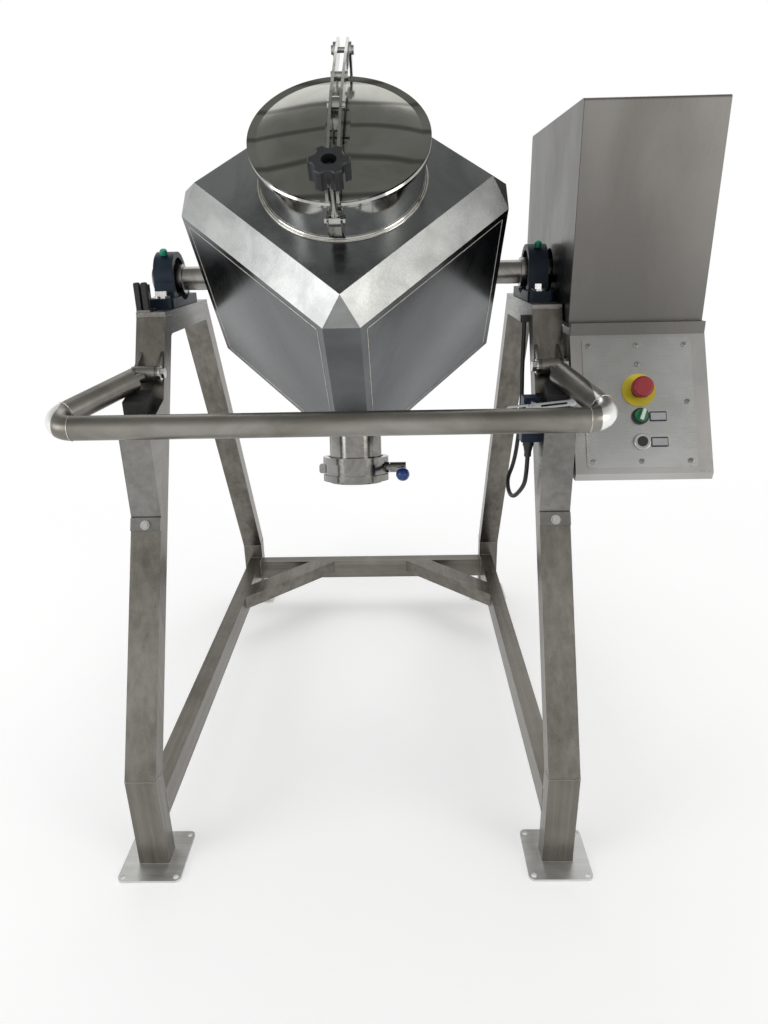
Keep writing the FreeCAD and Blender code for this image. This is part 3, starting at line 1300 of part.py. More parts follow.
def reducer_housing():
    """A worm reducer's housing on its feet, bored for the hollow output shaft."""
    middle = sum(REDUCER_X) / 2.0
    base = COVER_Z[0]
    core = block(REDUCER_X, (-REDUCER_HALF_Y, REDUCER_HALF_Y), (base, REDUCER_TOP_Z))
    core = core.makeFillet(18.0, edges_along(core, X_AXIS, lambda point: point.z > base + 10.0))
    boss = rod(vec(REDUCER_X[0] - 8.0, 0.0, SHAFT_Z), vec(REDUCER_X[1] + 8.0, 0.0, SHAFT_Z), 55.0)
    feet = block((REDUCER_X[0] - 14.0, REDUCER_X[1] + 14.0), (-REDUCER_HALF_Y + 10.0, REDUCER_HALF_Y - 10.0),
                 (base, base + 12.0))
    neck_y = REDUCER_HALF_Y + 15.0
    flange = rod(vec(middle, REDUCER_HALF_Y - 5.0, SHAFT_Z + WORM_OFFSET), vec(middle, neck_y, SHAFT_Z + WORM_OFFSET),
                 50.0)
    housing = fuse_all([core, boss, feet, flange])
    bore = rod(vec(REDUCER_X[0] - 20.0, 0.0, SHAFT_Z), vec(REDUCER_X[1] + 20.0, 0.0, SHAFT_Z), HUB_R)
    return housing.cut(bore)


def reducer_hub():
    return ring(vec(REDUCER_X[0] - 12.0, 0.0, SHAFT_Z), vec(REDUCER_X[1] + 12.0, 0.0, SHAFT_Z),
                HUB_R - RUNNING_FIT, SHAFT_R + FIT)


def drive_motor():
    """The finned motor on the reducer's flange."""
    middle = sum(REDUCER_X) / 2.0
    z = SHAFT_Z + WORM_OFFSET
    start = REDUCER_HALF_Y + 15.0
    barrel = rod(vec(middle, start, z), vec(middle, MOTOR_END_Y, z), MOTOR_R - 8.0)
    flange = rod(vec(middle, start, z), vec(middle, start + 10.0, z), MOTOR_R)
    cowl = rod(vec(middle, MOTOR_END_Y - 40.0, z), vec(middle, MOTOR_END_Y, z), MOTOR_R)
    fins = []
    for index in range(16):
        fin = block((MOTOR_R - 10.0, MOTOR_R), (start + 10.0, MOTOR_END_Y - 40.0), (-1.5, 1.5))
        fin.rotate(ORIGIN, Y_AXIS, 360.0 / 16.0 * index)
        fin.translate(vec(middle, 0.0, z))
        fins.append(fin)
    return fuse_all([barrel, flange, cowl] + fins)


def group(shapes):
    """Several separate solids that make one node."""
    return Part.makeCompound([solid for shape in shapes for solid in shape.Solids])


def pair(maker):
    return group([maker(side) for side in SIDES])


def parts():
    """Every node of the machine by name."""
    nodes = {
        "front_legs": group([leg(side, -1.0) for side in SIDES]),
        "rear_legs": group([leg(side, 1.0) for side in SIDES]),
        "head_plates": pair(head_plate),
        "head_gussets": pair(head_gussets),
        "side_rails": pair(side_rail),
        "corner_braces": pair(corner_brace),
        "bearing_housings": pair(bearing_housing),
        "bearing_outer_rings": pair(bearing_outer_ring),
        "shaft_rings": group([pair(bearing_inner_ring), reducer_hub()]),
        "shafts": pair(shaft_stub),
        "frame_bolts": group([bearing_bolts(), stop_bolts()]),
        "stop_brackets": pair(stop_bracket),
        "lid_arm_bars": pair(lid_arm_bar),
        "lid_dish": lid_dish().fuse(lid_lug()).removeSplitter(),
        "neck_hinge": group([hinge_plates(), hinge_pin()]),
        "clamp_bolt": group([clamp_bolt(), knob_washer()]),
        "switch_lever": group([switch_lever(), switch_roller()]),
        "cable_glands": group([switch_gland(), cable_grommet()]),
        "control_bezels": group([stop_collar(), bezel(SELECTOR_CENTRE, 6.0)]),
        "button_bezel": bezel(BUTTON_CENTRE, 6.0),
    }
    makers = (foot_plates, rear_rail, left_stop_block, left_stop_strips, grease_caps, vessel_shell, vessel_top, neck,
              clamp_bracket, outlet_tube, valve_gaskets, valve_body, outlet_clamps, outlet_ferrule, valve_disc,
              valve_lever, lever_ball, lid_gasket, lid_arm_pins, star_knob, guard_bar, guard_lugs, guard_pins,
              stop_pads, switch_body, switch_cable, cover_tray, drive_cover, control_box, control_box_back,
              box_brackets, panel_plate, panel_screws, stop_disc, stop_head, selector_knob, push_button,
              legend_plates, reducer_housing, drive_motor)
    for maker in makers:
        nodes[maker.__name__] = maker()
    return nodes


os.makedirs("parts", exist_ok=True)
for name, shape in parts().items():
    shape.exportStep("parts/" + name + ".step")
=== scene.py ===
import math

import bmesh
import bpy
from mathutils import Matrix, Vector


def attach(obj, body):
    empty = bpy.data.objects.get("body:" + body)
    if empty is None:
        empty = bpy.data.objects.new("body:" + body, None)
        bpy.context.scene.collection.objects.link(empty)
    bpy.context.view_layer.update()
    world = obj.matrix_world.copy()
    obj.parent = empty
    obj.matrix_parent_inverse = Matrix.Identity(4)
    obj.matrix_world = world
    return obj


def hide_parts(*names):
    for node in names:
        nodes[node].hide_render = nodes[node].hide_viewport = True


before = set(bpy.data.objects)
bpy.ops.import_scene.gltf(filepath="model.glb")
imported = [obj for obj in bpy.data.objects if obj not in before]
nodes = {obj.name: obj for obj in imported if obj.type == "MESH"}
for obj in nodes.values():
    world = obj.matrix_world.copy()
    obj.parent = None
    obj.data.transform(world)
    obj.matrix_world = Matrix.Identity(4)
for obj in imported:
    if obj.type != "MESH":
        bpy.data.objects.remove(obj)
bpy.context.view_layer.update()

# Looks of a cubic powder mixer: metres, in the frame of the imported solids.

SHAFT_Z = 1.095
LID_TILT = math.radians(43.5056)
PANEL_RISE = 243.0
PANEL_RUN = 128.0
PANEL_TILT = math.atan2(PANEL_RISE, PANEL_RUN)
PANEL_CORNER = (0.437, -0.240, 0.984)
LID_FRAME = Matrix.Translation((0.0, 0.0, SHAFT_Z)) @ Matrix.Rotation(LID_TILT, 4, "X")
CUBE_FRAME = LID_FRAME @ Matrix.Rotation(math.radians(45.0), 4, "Z")
PANEL_FRAME = Matrix.Translation(PANEL_CORNER) @ Matrix.Rotation(PANEL_TILT, 4, "X")


# Material helpers

class Surface:
    """A principled material and the small chains of nodes that feed it."""

    def __init__(self, name, colour, metallic=0.0, roughness=0.5):
        self.material = bpy.data.materials.new(name)
        self.material.use_nodes = True
        self.tree = self.material.node_tree
        self.shader = self.tree.nodes["Principled BSDF"]
        self.set("Base Color", (*colour, 1.0))
        self.set("Metallic", metallic)
        self.set("Roughness", roughness)
        self.place = self.add("ShaderNodeTexCoord").outputs["Object"]

    def set(self, name, value):
        self.shader.inputs[name].default_value = value

    def add(self, kind, **values):
        node = self.tree.nodes.new(kind)
        for name, value in values.items():
            setattr(node, name, value)
        return node

    def link(self, source, target):
        self.tree.links.new(source, target)

    def stretched(self, scale, turn=(0.0, 0.0, 0.0)):
        """Object coordinates in metres, scaled separately along each axis."""
        mapping = self.add("ShaderNodeMapping")
        mapping.inputs["Scale"].default_value = scale
        mapping.inputs["Rotation"].default_value = turn
        self.link(self.place, mapping.inputs["Vector"])
        return mapping.outputs["Vector"]

    def noise(self, scale, detail=3.0, rough=0.5, distort=0.0):
        node = self.add("ShaderNodeTexNoise")
        node.inputs["Scale"].default_value = 1.0
        node.inputs["Detail"].default_value = detail
        node.inputs["Roughness"].default_value = rough
        node.inputs["Distortion"].default_value = distort
        self.link(self.stretched(scale), node.inputs["Vector"])
        return node.outputs["Fac"]

    def ranged(self, source, low, high, start=0.3, end=0.7):
        node = self.add("ShaderNodeMapRange")
        node.inputs["From Min"].default_value = start
        node.inputs["From Max"].default_value = end
        node.inputs["To Min"].default_value = low
        node.inputs["To Max"].default_value = high
        self.link(source, node.inputs["Value"])
        return node.outputs["Result"]

    def math(self, operation, first, second):
        node = self.add("ShaderNodeMath", operation=operation)
        for socket, value in zip(node.inputs, (first, second)):
            if isinstance(value, float):
                socket.default_value = value
            else:
                self.link(value, socket)
        return node.outputs["Value"]

    def mixed(self, factor, first, second):
        """A colour between two colours, each fixed or from another node."""
        node = self.add("ShaderNodeMix", data_type="RGBA")
        self.link(factor, node.inputs["Factor"])
        for socket, value in ((node.inputs[6], first), (node.inputs[7], second)):
            if isinstance(value, tuple):
                socket.default_value = (*value, 1.0)
            else:
                self.link(value, socket)
        return node.outputs[2]

    def colour(self, source):
        self.link(source, self.shader.inputs["Base Color"])

    def scale_colour(self, level):
        """Multiply the colour that is already linked by a level from another node."""
        node = self.add("ShaderNodeVectorMath", operation="SCALE")
        self.link(self.shader.inputs["Base Color"].links[0].from_socket, node.inputs[0])
        self.link(level, node.inputs["Scale"])
        self.colour(node.outputs["Vector"])

    def roughness(self, source):
        self.link(source, self.shader.inputs["Roughness"])

    def bump(self, height, strength, distance):
        node = self.add("ShaderNodeBump")
        node.inputs["Strength"].default_value = strength
        node.inputs["Distance"].default_value = distance
        self.link(height, node.inputs["Height"])
        self.link(node.outputs["Normal"], self.shader.inputs["Normal"])


HEAT_TINT = (0.72, 0.62, 0.5)
FINE = 1500.0
LONG = 25.0
STREAK_SHARE = 0.045
GRAIN_SCALES = {
    "X": (LONG, FINE, FINE),
    "Y": (FINE, LONG, FINE),
    "Z": (FINE, FINE, LONG),
}


def steel(name, along, dark, light, rough, cloud=3.5):
    """Stainless steel with a grain along one axis and cloudy stains from handling."""
    s = Surface(name, light, metallic=1.0)
    scale = GRAIN_SCALES[along]
    lines = s.noise(scale, detail=4.0, rough=0.65)
    streak_scale = tuple(value * STREAK_SHARE for value in scale)
    streaks = s.noise(streak_scale, detail=4.0, rough=0.6)
    clouds = s.noise((cloud, cloud, cloud), detail=5.0, rough=0.6, distort=0.6)
    blend = s.math("ADD", s.math("MULTIPLY", clouds, 0.6), s.math("MULTIPLY", streaks, 0.4))
    tone = s.ranged(blend, 0.0, 1.0, 0.36, 0.64)
    s.colour(s.mixed(tone, dark, light))
    s.scale_colour(s.ranged(lines, 0.86, 1.08))
    spread = s.math("ADD", s.ranged(lines, -0.10, 0.10), s.ranged(clouds, -0.05, 0.07))
    s.roughness(s.math("ADD", spread, rough))
    s.bump(lines, 0.15, 0.0002)
    return s.material


def polished(name, dark, light, rough=0.07):
    """Bright polished steel with faint wiping marks."""
    s = Surface(name, light, metallic=1.0)
    smears = s.noise((9.0, 9.0, 9.0), detail=6.0, rough=0.65, distort=1.2)
    fine = s.noise((260.0, 260.0, 260.0), detail=3.0)
    s.colour(s.mixed(s.ranged(smears, 0.0, 1.0, 0.38, 0.62), dark, light))
    s.roughness(s.math("ADD", s.ranged(smears, rough, rough + 0.08), s.ranged(fine, -0.015, 0.02)))
    s.bump(smears, 0.02, 0.002)
    return s.material


def guard_tube(name):
    """The guard's tube: brushed runs and polished elbows, whose pale colour is partly painted highlight."""
    s = Surface(name, GUARD_LIGHT, metallic=1.0)
    lines = s.noise(GRAIN_SCALES["X"], detail=3.0, rough=0.6)
    clouds = s.noise((6.0, 11.0, 11.0), detail=5.0, rough=0.6, distort=0.5)
    brushed = s.mixed(s.ranged(clouds, 0.0, 1.0, 0.36, 0.64), GUARD_DARK, GUARD_LIGHT)
    split = s.add("ShaderNodeSeparateXYZ")
    s.link(s.place, split.inputs[0])
    left = s.ranged(split.outputs["X"], 1.0, 0.0, ELBOW_LEFT_X, ELBOW_LEFT_X + 2.0 * EDGE)
    right = s.ranged(split.outputs["X"], 0.0, 1.0, ELBOW_RIGHT_X, ELBOW_RIGHT_X + 2.0 * EDGE)
    elbow = s.math("MAXIMUM", left, right)
    # the elbows' pale colour is partly their polish and partly painted highlight
    s.colour(s.mixed(elbow, brushed, ELBOW_POLISH_AND_HIGHLIGHT))
    rough = s.math("ADD", s.ranged(lines, 0.30, 0.42), s.math("MULTIPLY", elbow, -0.06))
    s.roughness(rough)
    s.bump(lines, 0.12, 0.0002)
    return s.material


def lid_polish():
    """The lid's mirror polish, with painted reflection: the soft dark waves that its dish shows are painted
    into its colour.
    """
    s = Surface("lid_polish", (0.3, 0.3, 0.28), metallic=1.0)
    smears = s.noise((7.0, 7.0, 7.0), detail=5.0, rough=0.6, distort=0.8)
    turn = (-LID_TILT, 0.0, 0.0)
    wave = s.add("ShaderNodeTexWave", bands_direction="Y")
    wave.inputs["Scale"].default_value = 1.0
    wave.inputs["Distortion"].default_value = 3.2
    wave.inputs["Detail"].default_value = 2.0
    wave.inputs["Detail Scale"].default_value = 0.8
    s.link(s.stretched((3.0, 5.2, 3.0), turn), wave.inputs["Vector"])
    lines = s.ranged(wave.outputs["Fac"], 0.0, 1.0, 0.0, 0.12)
    field = s.mixed(s.ranged(smears, 0.0, 1.0, 0.35, 0.65), (0.24, 0.24, 0.215), (0.33, 0.33, 0.305))
    # painted reflection: dark wave bands mixed into the colour
    s.colour(s.mixed(lines, (0.13, 0.13, 0.115), field))
    s.roughness(s.ranged(smears, 0.10, 0.17))
    return s.material


def weld(name, colour):
    """A weld bead's brushed, slightly heat-tinted metal."""
    s = Surface(name, colour, metallic=1.0)
    tint = s.noise((60.0, 60.0, 60.0), detail=3.0)
    fine = s.noise((700.0, 700.0, 700.0), detail=2.0)
    warm = tuple(value * share for value, share in zip(colour, HEAT_TINT))
    s.colour(s.mixed(s.ranged(tint, 0.0, 1.0, 0.45, 0.75), colour, warm))
    s.roughness(s.ranged(fine, 0.22, 0.42))
    s.bump(fine, 0.3, 0.0004)
    return s.material


def plastic(name, colour, rough, mottle=0.15, scale=180.0, bump=0.1, coat=0.0):
    """Moulded plastic or rubber with a fine mould texture and small wear."""
    s = Surface(name, colour)
    fine = s.noise((scale, scale, scale), detail=4.0)
    wear = s.noise((24.0, 24.0, 24.0), detail=5.0, rough=0.65)
    pale = tuple(min(1.0, value * (1.0 + mottle) + 0.012 * mottle) for value in colour)
    deep = tuple(value * (1.0 - mottle) for value in colour)
    s.colour(s.mixed(s.ranged(wear, 0.0, 1.0, 0.35, 0.7), deep, pale))
    s.roughness(s.math("ADD", s.ranged(fine, -0.05, 0.07), s.ranged(wear, rough, rough + 0.08)))
    s.set("Coat Weight", coat)
    s.set("Coat Roughness", 0.08)
    s.bump(fine, bump, 0.0003)
    return s.material


def cast_paint(name, colour):
    """Semi-gloss paint over a sand casting."""
    s = Surface(name, colour)
    s.set("Specular IOR Level", 0.3)
    sand = s.noise((420.0, 420.0, 420.0), detail=3.0)
    wave = s.noise((45.0, 45.0, 45.0), detail=4.0)
    dusty = tuple(value * 1.3 + 0.004 for value in colour)
    s.colour(s.mixed(s.ranged(wave, 0.0, 1.0, 0.4, 0.75), colour, dusty))
    s.roughness(s.ranged(sand, 0.36, 0.5))
    s.bump(s.math("ADD", s.math("MULTIPLY", sand, 0.5), wave), 0.35, 0.0012)
    return s.material


def sheet_steel(name, dark, light, rough, along="Z"):
    """Satin sheet steel."""
    s = Surface(name, light, metallic=1.0)
    sheet_finish(s, dark, light, rough, along)
    return s.material


def sheet_finish(s, dark, light, rough, along):
    """The colour, roughness and grain of a sheet: smears, soft patches and a few small scuffs."""
    lines = s.noise(GRAIN_SCALES[along], detail=3.0, rough=0.6)
    smears = s.noise((5.0, 5.0, 2.2), detail=5.0, rough=0.55, distort=0.9)
    patches = s.noise((2.6, 2.6, 1.4), detail=2.0, rough=0.4, distort=0.4)
    scuffs = s.noise((38.0, 38.0, 22.0), detail=6.0, rough=0.7)
    tone = s.math("ADD", s.math("MULTIPLY", smears, 0.45), s.math("MULTIPLY", patches, 0.55))
    base = s.mixed(s.ranged(tone, 0.0, 1.0, 0.38, 0.62), dark, light)
    marks = s.ranged(scuffs, 0.0, 0.35, 0.66, 0.78)
    deep = tuple(value * 0.55 for value in dark)
    s.colour(s.mixed(marks, base, deep))
    spread = s.math("ADD", s.ranged(lines, -0.06, 0.06), s.ranged(smears, rough - 0.04, rough + 0.07))
    s.roughness(spread)
    s.bump(lines, 0.08, 0.0002)


def hood_sheet(name, dark, light, rough):
    """The cover's satin sheet with painted light and shade: paler towards the top and on its front than on
    its left side.
    """
    s = Surface(name, light, metallic=1.0)
    sheet_finish(s, dark, light, rough, "Z")
    split = s.add("ShaderNodeSeparateXYZ")
    s.link(s.place, split.inputs[0])
    # painted light: the colour is scaled up towards the top of the cover
    level = s.ranged(split.outputs["Z"], *HOOD_PAINTED_LIGHT_LEVELS, *HOOD_PAINTED_LIGHT_HEIGHTS)
    # painted shade: the cover's left side is darkened against its front
    side = s.ranged(split.outputs["X"], HOOD_SIDE_PAINTED_SHADE, 1.0, HOOD_LEFT_X, HOOD_LEFT_X + EDGE)
    s.scale_colour(s.math("MULTIPLY", level, side))
    return s.material


def vessel_sheet(name):
    """Brushed plates, with the lid's plate made paler as painted light and the folds round it made bright
    as painted highlight.
    """
    s = Surface(name, PLATE_LIGHT, metallic=1.0)
    sheet_finish(s, PLATE_DARK, PLATE_LIGHT, 0.27, "Z")
    moved = s.add("ShaderNodeVectorMath", operation="SUBTRACT")
    s.link(s.place, moved.inputs[0])
    moved.inputs[1].default_value = (0.0, 0.0, SHAFT_Z)
    turned = s.add("ShaderNodeVectorRotate", rotation_type="EULER_XYZ", invert=True)
    turned.inputs["Rotation"].default_value = CUBE_FRAME.to_euler("XYZ")
    s.link(moved.outputs["Vector"], turned.inputs["Vector"])
    split = s.add("ShaderNodeSeparateXYZ")
    s.link(turned.outputs["Vector"], split.inputs[0])
    beyond = []
    for axis in "XY":
        reach = s.math("ABSOLUTE", split.outputs[axis], 0.0)
        beyond.append(s.math("GREATER_THAN", reach, FOLD_START))
    top = s.math("GREATER_THAN", split.outputs["Z"], FOLD_START)
    fold = s.math("MULTIPLY", s.math("MAXIMUM", beyond[0], beyond[1]), top)
    # painted light: the lid's upward plate is made paler than the other plates
    s.scale_colour(s.ranged(split.outputs["Z"], 1.0, LID_PLATE_PAINTED_LIGHT, LID_PLATE_Z, LID_PLATE_Z + EDGE))
    plain = s.shader.inputs["Base Color"].links[0].from_socket
    # painted highlight: the folds get a pale colour that stands in for their bright reflections
    bright = s.noise((14.0, 14.0, 14.0), detail=4.0, rough=0.55, distort=0.5)
    painted_fold_highlight = s.mixed(s.ranged(bright, 0.0, 1.0, 0.35, 0.65), FOLD_HIGHLIGHT_DARK, FOLD_HIGHLIGHT_LIGHT)
    s.colour(s.mixed(fold, plain, painted_fold_highlight))
    return s.material


def painted(name, colour, rough):
    """Smooth enamel with slight orange peel."""
    s = Surface(name, colour)
    peel = s.noise((160.0, 160.0, 160.0), detail=2.0)
    dirt = s.noise((14.0, 14.0, 14.0), detail=5.0, rough=0.6)
    deep = tuple(value * 0.8 for value in colour)
    s.colour(s.mixed(s.ranged(dirt, 0.0, 1.0, 0.4, 0.7), deep, colour))
    s.roughness(s.ranged(dirt, rough, rough + 0.12))
    s.bump(peel, 0.08, 0.0006)
    return s.material


FRAME_DARK = (0.125, 0.114, 0.099)
FRAME_LIGHT = (0.255, 0.242, 0.218)
PLATE_DARK = (0.085, 0.089, 0.092)
PLATE_LIGHT = (0.175, 0.183, 0.187)
FOLD_HIGHLIGHT_DARK = (0.22, 0.224, 0.222)
FOLD_HIGHLIGHT_LIGHT = (0.31, 0.317, 0.312)
LID_PLATE_PAINTED_LIGHT = 1.7
LID_PLATE_Z = 0.2485
FOLD_START = 0.2015
GUARD_DARK = (0.19, 0.18, 0.16)
GUARD_LIGHT = (0.29, 0.28, 0.255)
ELBOW_POLISH_AND_HIGHLIGHT = (0.86, 0.86, 0.84)
EDGE = 0.001
HOOD_PAINTED_LIGHT_HEIGHTS = (1.02, 1.36)
HOOD_PAINTED_LIGHT_LEVELS = (0.64, 1.0)
HOOD_LEFT_X = 0.4375
HOOD_SIDE_PAINTED_SHADE = 0.36
ELBOW_LEFT_X = -0.509
ELBOW_RIGHT_X = 0.448

materials = {
    "tube_z": steel("tube_z", "Z", FRAME_DARK, FRAME_LIGHT, 0.30),
    "tube_y": steel("tube_y", "Y", FRAME_DARK, FRAME_LIGHT, 0.32),
    "tube_x": steel("tube_x", "X", FRAME_DARK, FRAME_LIGHT, 0.32),
    "plate": steel("plate", "Y", (0.145, 0.142, 0.132), (0.25, 0.245, 0.23), 0.30),
    # foot plates: their pale colour is painted reflection on their upward faces
    "foot": steel("foot", "X", (0.62, 0.62, 0.61), (0.80, 0.80, 0.79), 0.42, cloud=9.0),
    "guard": guard_tube("guard"),
    "vessel": vessel_sheet("vessel"),
    "hood": hood_sheet("hood", (0.19, 0.182, 0.168), (0.265, 0.256, 0.24), 0.30),
    "box": sheet_steel("box", (0.34, 0.333, 0.32), (0.46, 0.452, 0.44), 0.30),
    "panel": sheet_steel("panel", (0.36, 0.362, 0.353), (0.50, 0.505, 0.50), 0.27, along="X"),
    "lid": lid_polish(),
    "polished": polished("polished", (0.32, 0.32, 0.305), (0.52, 0.52, 0.50)),
    "turned": polished("turned", (0.22, 0.21, 0.195), (0.36, 0.35, 0.33), 0.20),
    "outlet": polished("outlet", (0.15, 0.145, 0.135), (0.28, 0.275, 0.26), 0.10),
    "bright": polished("bright", (0.42, 0.42, 0.41), (0.60, 0.60, 0.59), 0.14),
    "screw": polished("screw", (0.20, 0.20, 0.195), (0.34, 0.34, 0.33), 0.16),
    "weld": weld("weld", (0.62, 0.61, 0.58)),
    "frame_weld": weld("frame_weld", (0.34, 0.325, 0.30)),
    "foil": plastic("foil", (0.42, 0.43, 0.45), 0.35, mottle=0.1),
    "navy": cast_paint("navy", (0.006, 0.015, 0.030)),
    "switch_navy": cast_paint("switch_navy", (0.006, 0.014, 0.034)),
    "green_cap": plastic("green_cap", (0.0, 0.30, 0.17), 0.3),
    "green_knob": plastic("green_knob", (0.01, 0.22, 0.075), 0.3, coat=0.3),
    "black": plastic("black", (0.008, 0.0095, 0.012), 0.36, mottle=0.4),
    "cable": plastic("cable", (0.012, 0.012, 0.013), 0.45, mottle=0.4, scale=420.0),
    "rubber": plastic("rubber", (0.02, 0.02, 0.02), 0.62, mottle=0.4),
    "seal": plastic("seal", (0.72, 0.72, 0.69), 0.45, mottle=0.06),
    "blue": plastic("blue", (0.001, 0.040, 0.22), 0.14, coat=0.2, bump=0.02),
    "red": plastic("red", (0.32, 0.024, 0.034), 0.38, bump=0.05),
    "yellow": plastic("yellow", (0.62, 0.50, 0.02), 0.42, mottle=0.08),
    "white": plastic("white", (0.78, 0.78, 0.76), 0.4, mottle=0.05),
    "zinc": steel("zinc", "X", (0.42, 0.44, 0.44), (0.6, 0.62, 0.62), 0.28),
    "grey_paint": painted("grey_paint", (0.17, 0.19, 0.22), 0.35),
}

NODE_MATERIALS = {
    "tube_z": ["front_legs", "rear_legs"],
    "tube_y": ["side_rails", "corner_braces"],
    "tube_x": ["rear_rail"],
    "plate": ["head_plates", "head_gussets", "stop_brackets", "guard_lugs", "box_brackets",
              "left_stop_block"],
    "foot": ["foot_plates"],
    "guard": ["guard_bar"],
    "vessel": ["vessel_shell", "vessel_top"],
    "hood": ["drive_cover", "cover_tray"],
    "box": ["control_box", "control_box_back"],
    "panel": ["panel_plate"],
    "lid": ["lid_dish"],
    "polished": ["neck", "lid_arm_bars", "lid_arm_pins", "neck_hinge", "clamp_bracket", "clamp_bolt"],
    "outlet": ["outlet_tube", "valve_body", "outlet_clamps", "outlet_ferrule", "valve_lever", "valve_disc"],
    "turned": ["shafts", "bearing_outer_rings", "shaft_rings"],
    "bright": ["frame_bolts", "guard_pins", "button_bezel"],
    "screw": ["panel_screws"],
    "navy": ["bearing_housings"],
    "switch_navy": ["switch_body"],
    "green_cap": ["grease_caps"],
    "green_knob": ["selector_knob"],
    "black": ["star_knob", "cable_glands", "control_bezels", "push_button", "legend_plates"],
    "cable": ["switch_cable"],
    "rubber": ["stop_pads", "left_stop_strips"],
    "seal": ["lid_gasket", "valve_gaskets"],
    "blue": ["lever_ball"],
    "red": ["stop_head"],
    "yellow": ["stop_disc"],
    "zinc": ["switch_lever"],
    "grey_paint": ["reducer_housing", "drive_motor"],
}


def dress(obj, material):
    obj.data.materials.clear()
    obj.data.materials.append(materials[material])
    return obj


for material_name, node_names in NODE_MATERIALS.items():
    for node_name in node_names:
        dress(nodes[node_name], material_name)


# Mesh helpers

def piece(name, mesh, material, body):
    obj = bpy.data.objects.new(name, mesh)
    bpy.context.scene.collection.objects.link(obj)
    dress(obj, material)
    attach(obj, body)
    return obj


def smooth(mesh):
    for polygon in mesh.polygons:
        polygon.use_smooth = True
    return mesh


BEAD_SIDES = 6
BEAD_RIPPLE = 0.82
BEAD_END = 0.4
SAME_POINT = 1e-6


def across(direction, before):
    """A direction square to a line, turned as little as possible from the one before it."""
    if before is None:
        return direction.orthogonal().normalized()
    return (before - direction * before.dot(direction)).normalized()


def bead_ring(mesh, spot, direction, side, swell):
    """The corners of a bead's cross-section."""
    up = direction.cross(side)
    ring = []
    for step in range(BEAD_SIDES):
        angle = 2.0 * math.pi * step / BEAD_SIDES
        ring.append(mesh.verts.new(spot + swell * (math.cos(angle) * side + math.sin(angle) * up)))
    return ring


def add_bead(mesh, line, radius, pitch):
    """A round bead along a polyline, with a ripple at every pitch."""
    points = [Vector(point) for point in line]
    closed = (points[0] - points[-1]).length < SAME_POINT
    stations = along_line(points, pitch)
    if closed:
        stations = stations[:-1]
    rings = []
    side = None
    for index, (spot, direction) in enumerate(stations):
        side = across(direction, side)
        swell = radius * (1.0 if index % 2 else BEAD_RIPPLE)
        if not closed and index in (0, len(stations) - 1):
            swell = radius * BEAD_END
        rings.append(bead_ring(mesh, spot, direction, side, swell))
    pairs = list(zip(rings, rings[1:]))
    if closed:
        pairs.append((rings[-1], rings[0]))
    for first, second in pairs:
        for step in range(BEAD_SIDES):
            after = (step + 1) % BEAD_SIDES
            mesh.faces.new((first[step], first[after], second[after], second[step]))
    if not closed:
        mesh.faces.new(list(reversed(rings[0])))
        mesh.faces.new(rings[-1])


def bead_mesh(name, lines, radius, pitch):
    """Weld beads along several polylines, in one mesh."""
    mesh = bmesh.new()
    for line in lines:
        add_bead(mesh, line, radius, pitch)
    result = bpy.data.meshes.new(name)
    mesh.to_mesh(result)
    mesh.free()
    return smooth(result)


def along_line(points, pitch):
    """Evenly spaced stations on a polyline, each with its direction."""
    stations = []
    for start, end in zip(points, points[1:]):
        run = end - start
        count = max(1, round(run.length / pitch))
        direction = run.normalized()
        first = 0 if not stations else 1
        for index in range(first, count + 1):
            stations.append((start + run * (index / count), direction))
    return stations


def circle(frame_matrix, height, radius, count=96):
    """Points of a closed circle about the frame's z axis."""
    points = []
    for index in range(count + 1):
        angle = math.radians(360.0 * index / count)
        local = Vector((radius * math.cos(angle), radius * math.sin(angle), height))
        points.append(frame_matrix @ local)
    return points


# Weld seams of the vessel

HALF = 0.250
FLAT = 0.202
SEAM_INSET = 0.016
SEAM_LIFT = 0.0002
SEAM_RADIUS = 0.0009
SEAM_PITCH = 0.003
NECK_BEAD_Z = 0.2525
NECK_BEAD_R = 0.1615
NECK_BEAD_RADIUS = 0.0022
NECK_BEAD_PITCH = 0.0045


def cube_seams():
    """The seams beside the folds, round every plate but the lid's."""
    lines = []
    for axis in range(3):
        for sign in (-1.0, 1.0):
            if axis == 2 and sign > 0.0:
                continue
            corners = []
            for a, b in ((-1, -1), (1, -1), (1, 1), (-1, 1)):
                point = [0.0, 0.0, 0.0]
                point[axis] = sign * (HALF + SEAM_LIFT)
                point[(axis + 1) % 3] = a * (FLAT - SEAM_INSET)
                point[(axis + 2) % 3] = b * (FLAT - SEAM_INSET)
                corners.append(CUBE_FRAME @ Vector(point))
            for first, second in zip(corners, corners[1:] + corners[:1]):
                lines.append([first, second])
    return lines


seam_mesh = bead_mesh("vessel_seams", cube_seams(), SEAM_RADIUS, SEAM_PITCH)
piece("vessel_seams", seam_mesh, "weld", "vessel")
neck_circle = circle(LID_FRAME, NECK_BEAD_Z, NECK_BEAD_R)
neck_mesh = bead_mesh("neck_bead", [neck_circle], NECK_BEAD_RADIUS, NECK_BEAD_PITCH)
piece("neck_bead", neck_mesh, "weld", "vessel")


# Weld beads of the frame

LEG_X = (0.3735, 0.4335)
POST_Y = (0.551, 0.591)
RAIL_X = (0.3735, 0.4135)
RAIL_Z = (0.095, 0.155)
REAR_RAIL_Y = (0.511, 0.551)
BEND_Z = (0.1994, 0.209)
HEAD_UNDER_Z = 1.030
HEAD_Y = (0.1271, 0.172)
FOOT_TOP_Z = 0.005
FRAME_BEAD_RADIUS = 0.0013
FRAME_BEAD_PITCH = 0.004


def loop(points):
    """The points with the first one repeated at the end."""
    return points + [points[0]]


def rectangle_z(x_range, y_range, z):
    return loop([(x_range[0], y_range[0], z), (x_range[1], y_range[0], z), (x_range[1], y_range[1], z),
                 (x_range[0], y_range[1], z)])


def mirrored(points, side, end):
    return [(side * x, end * y, z) for x, y, z in points]


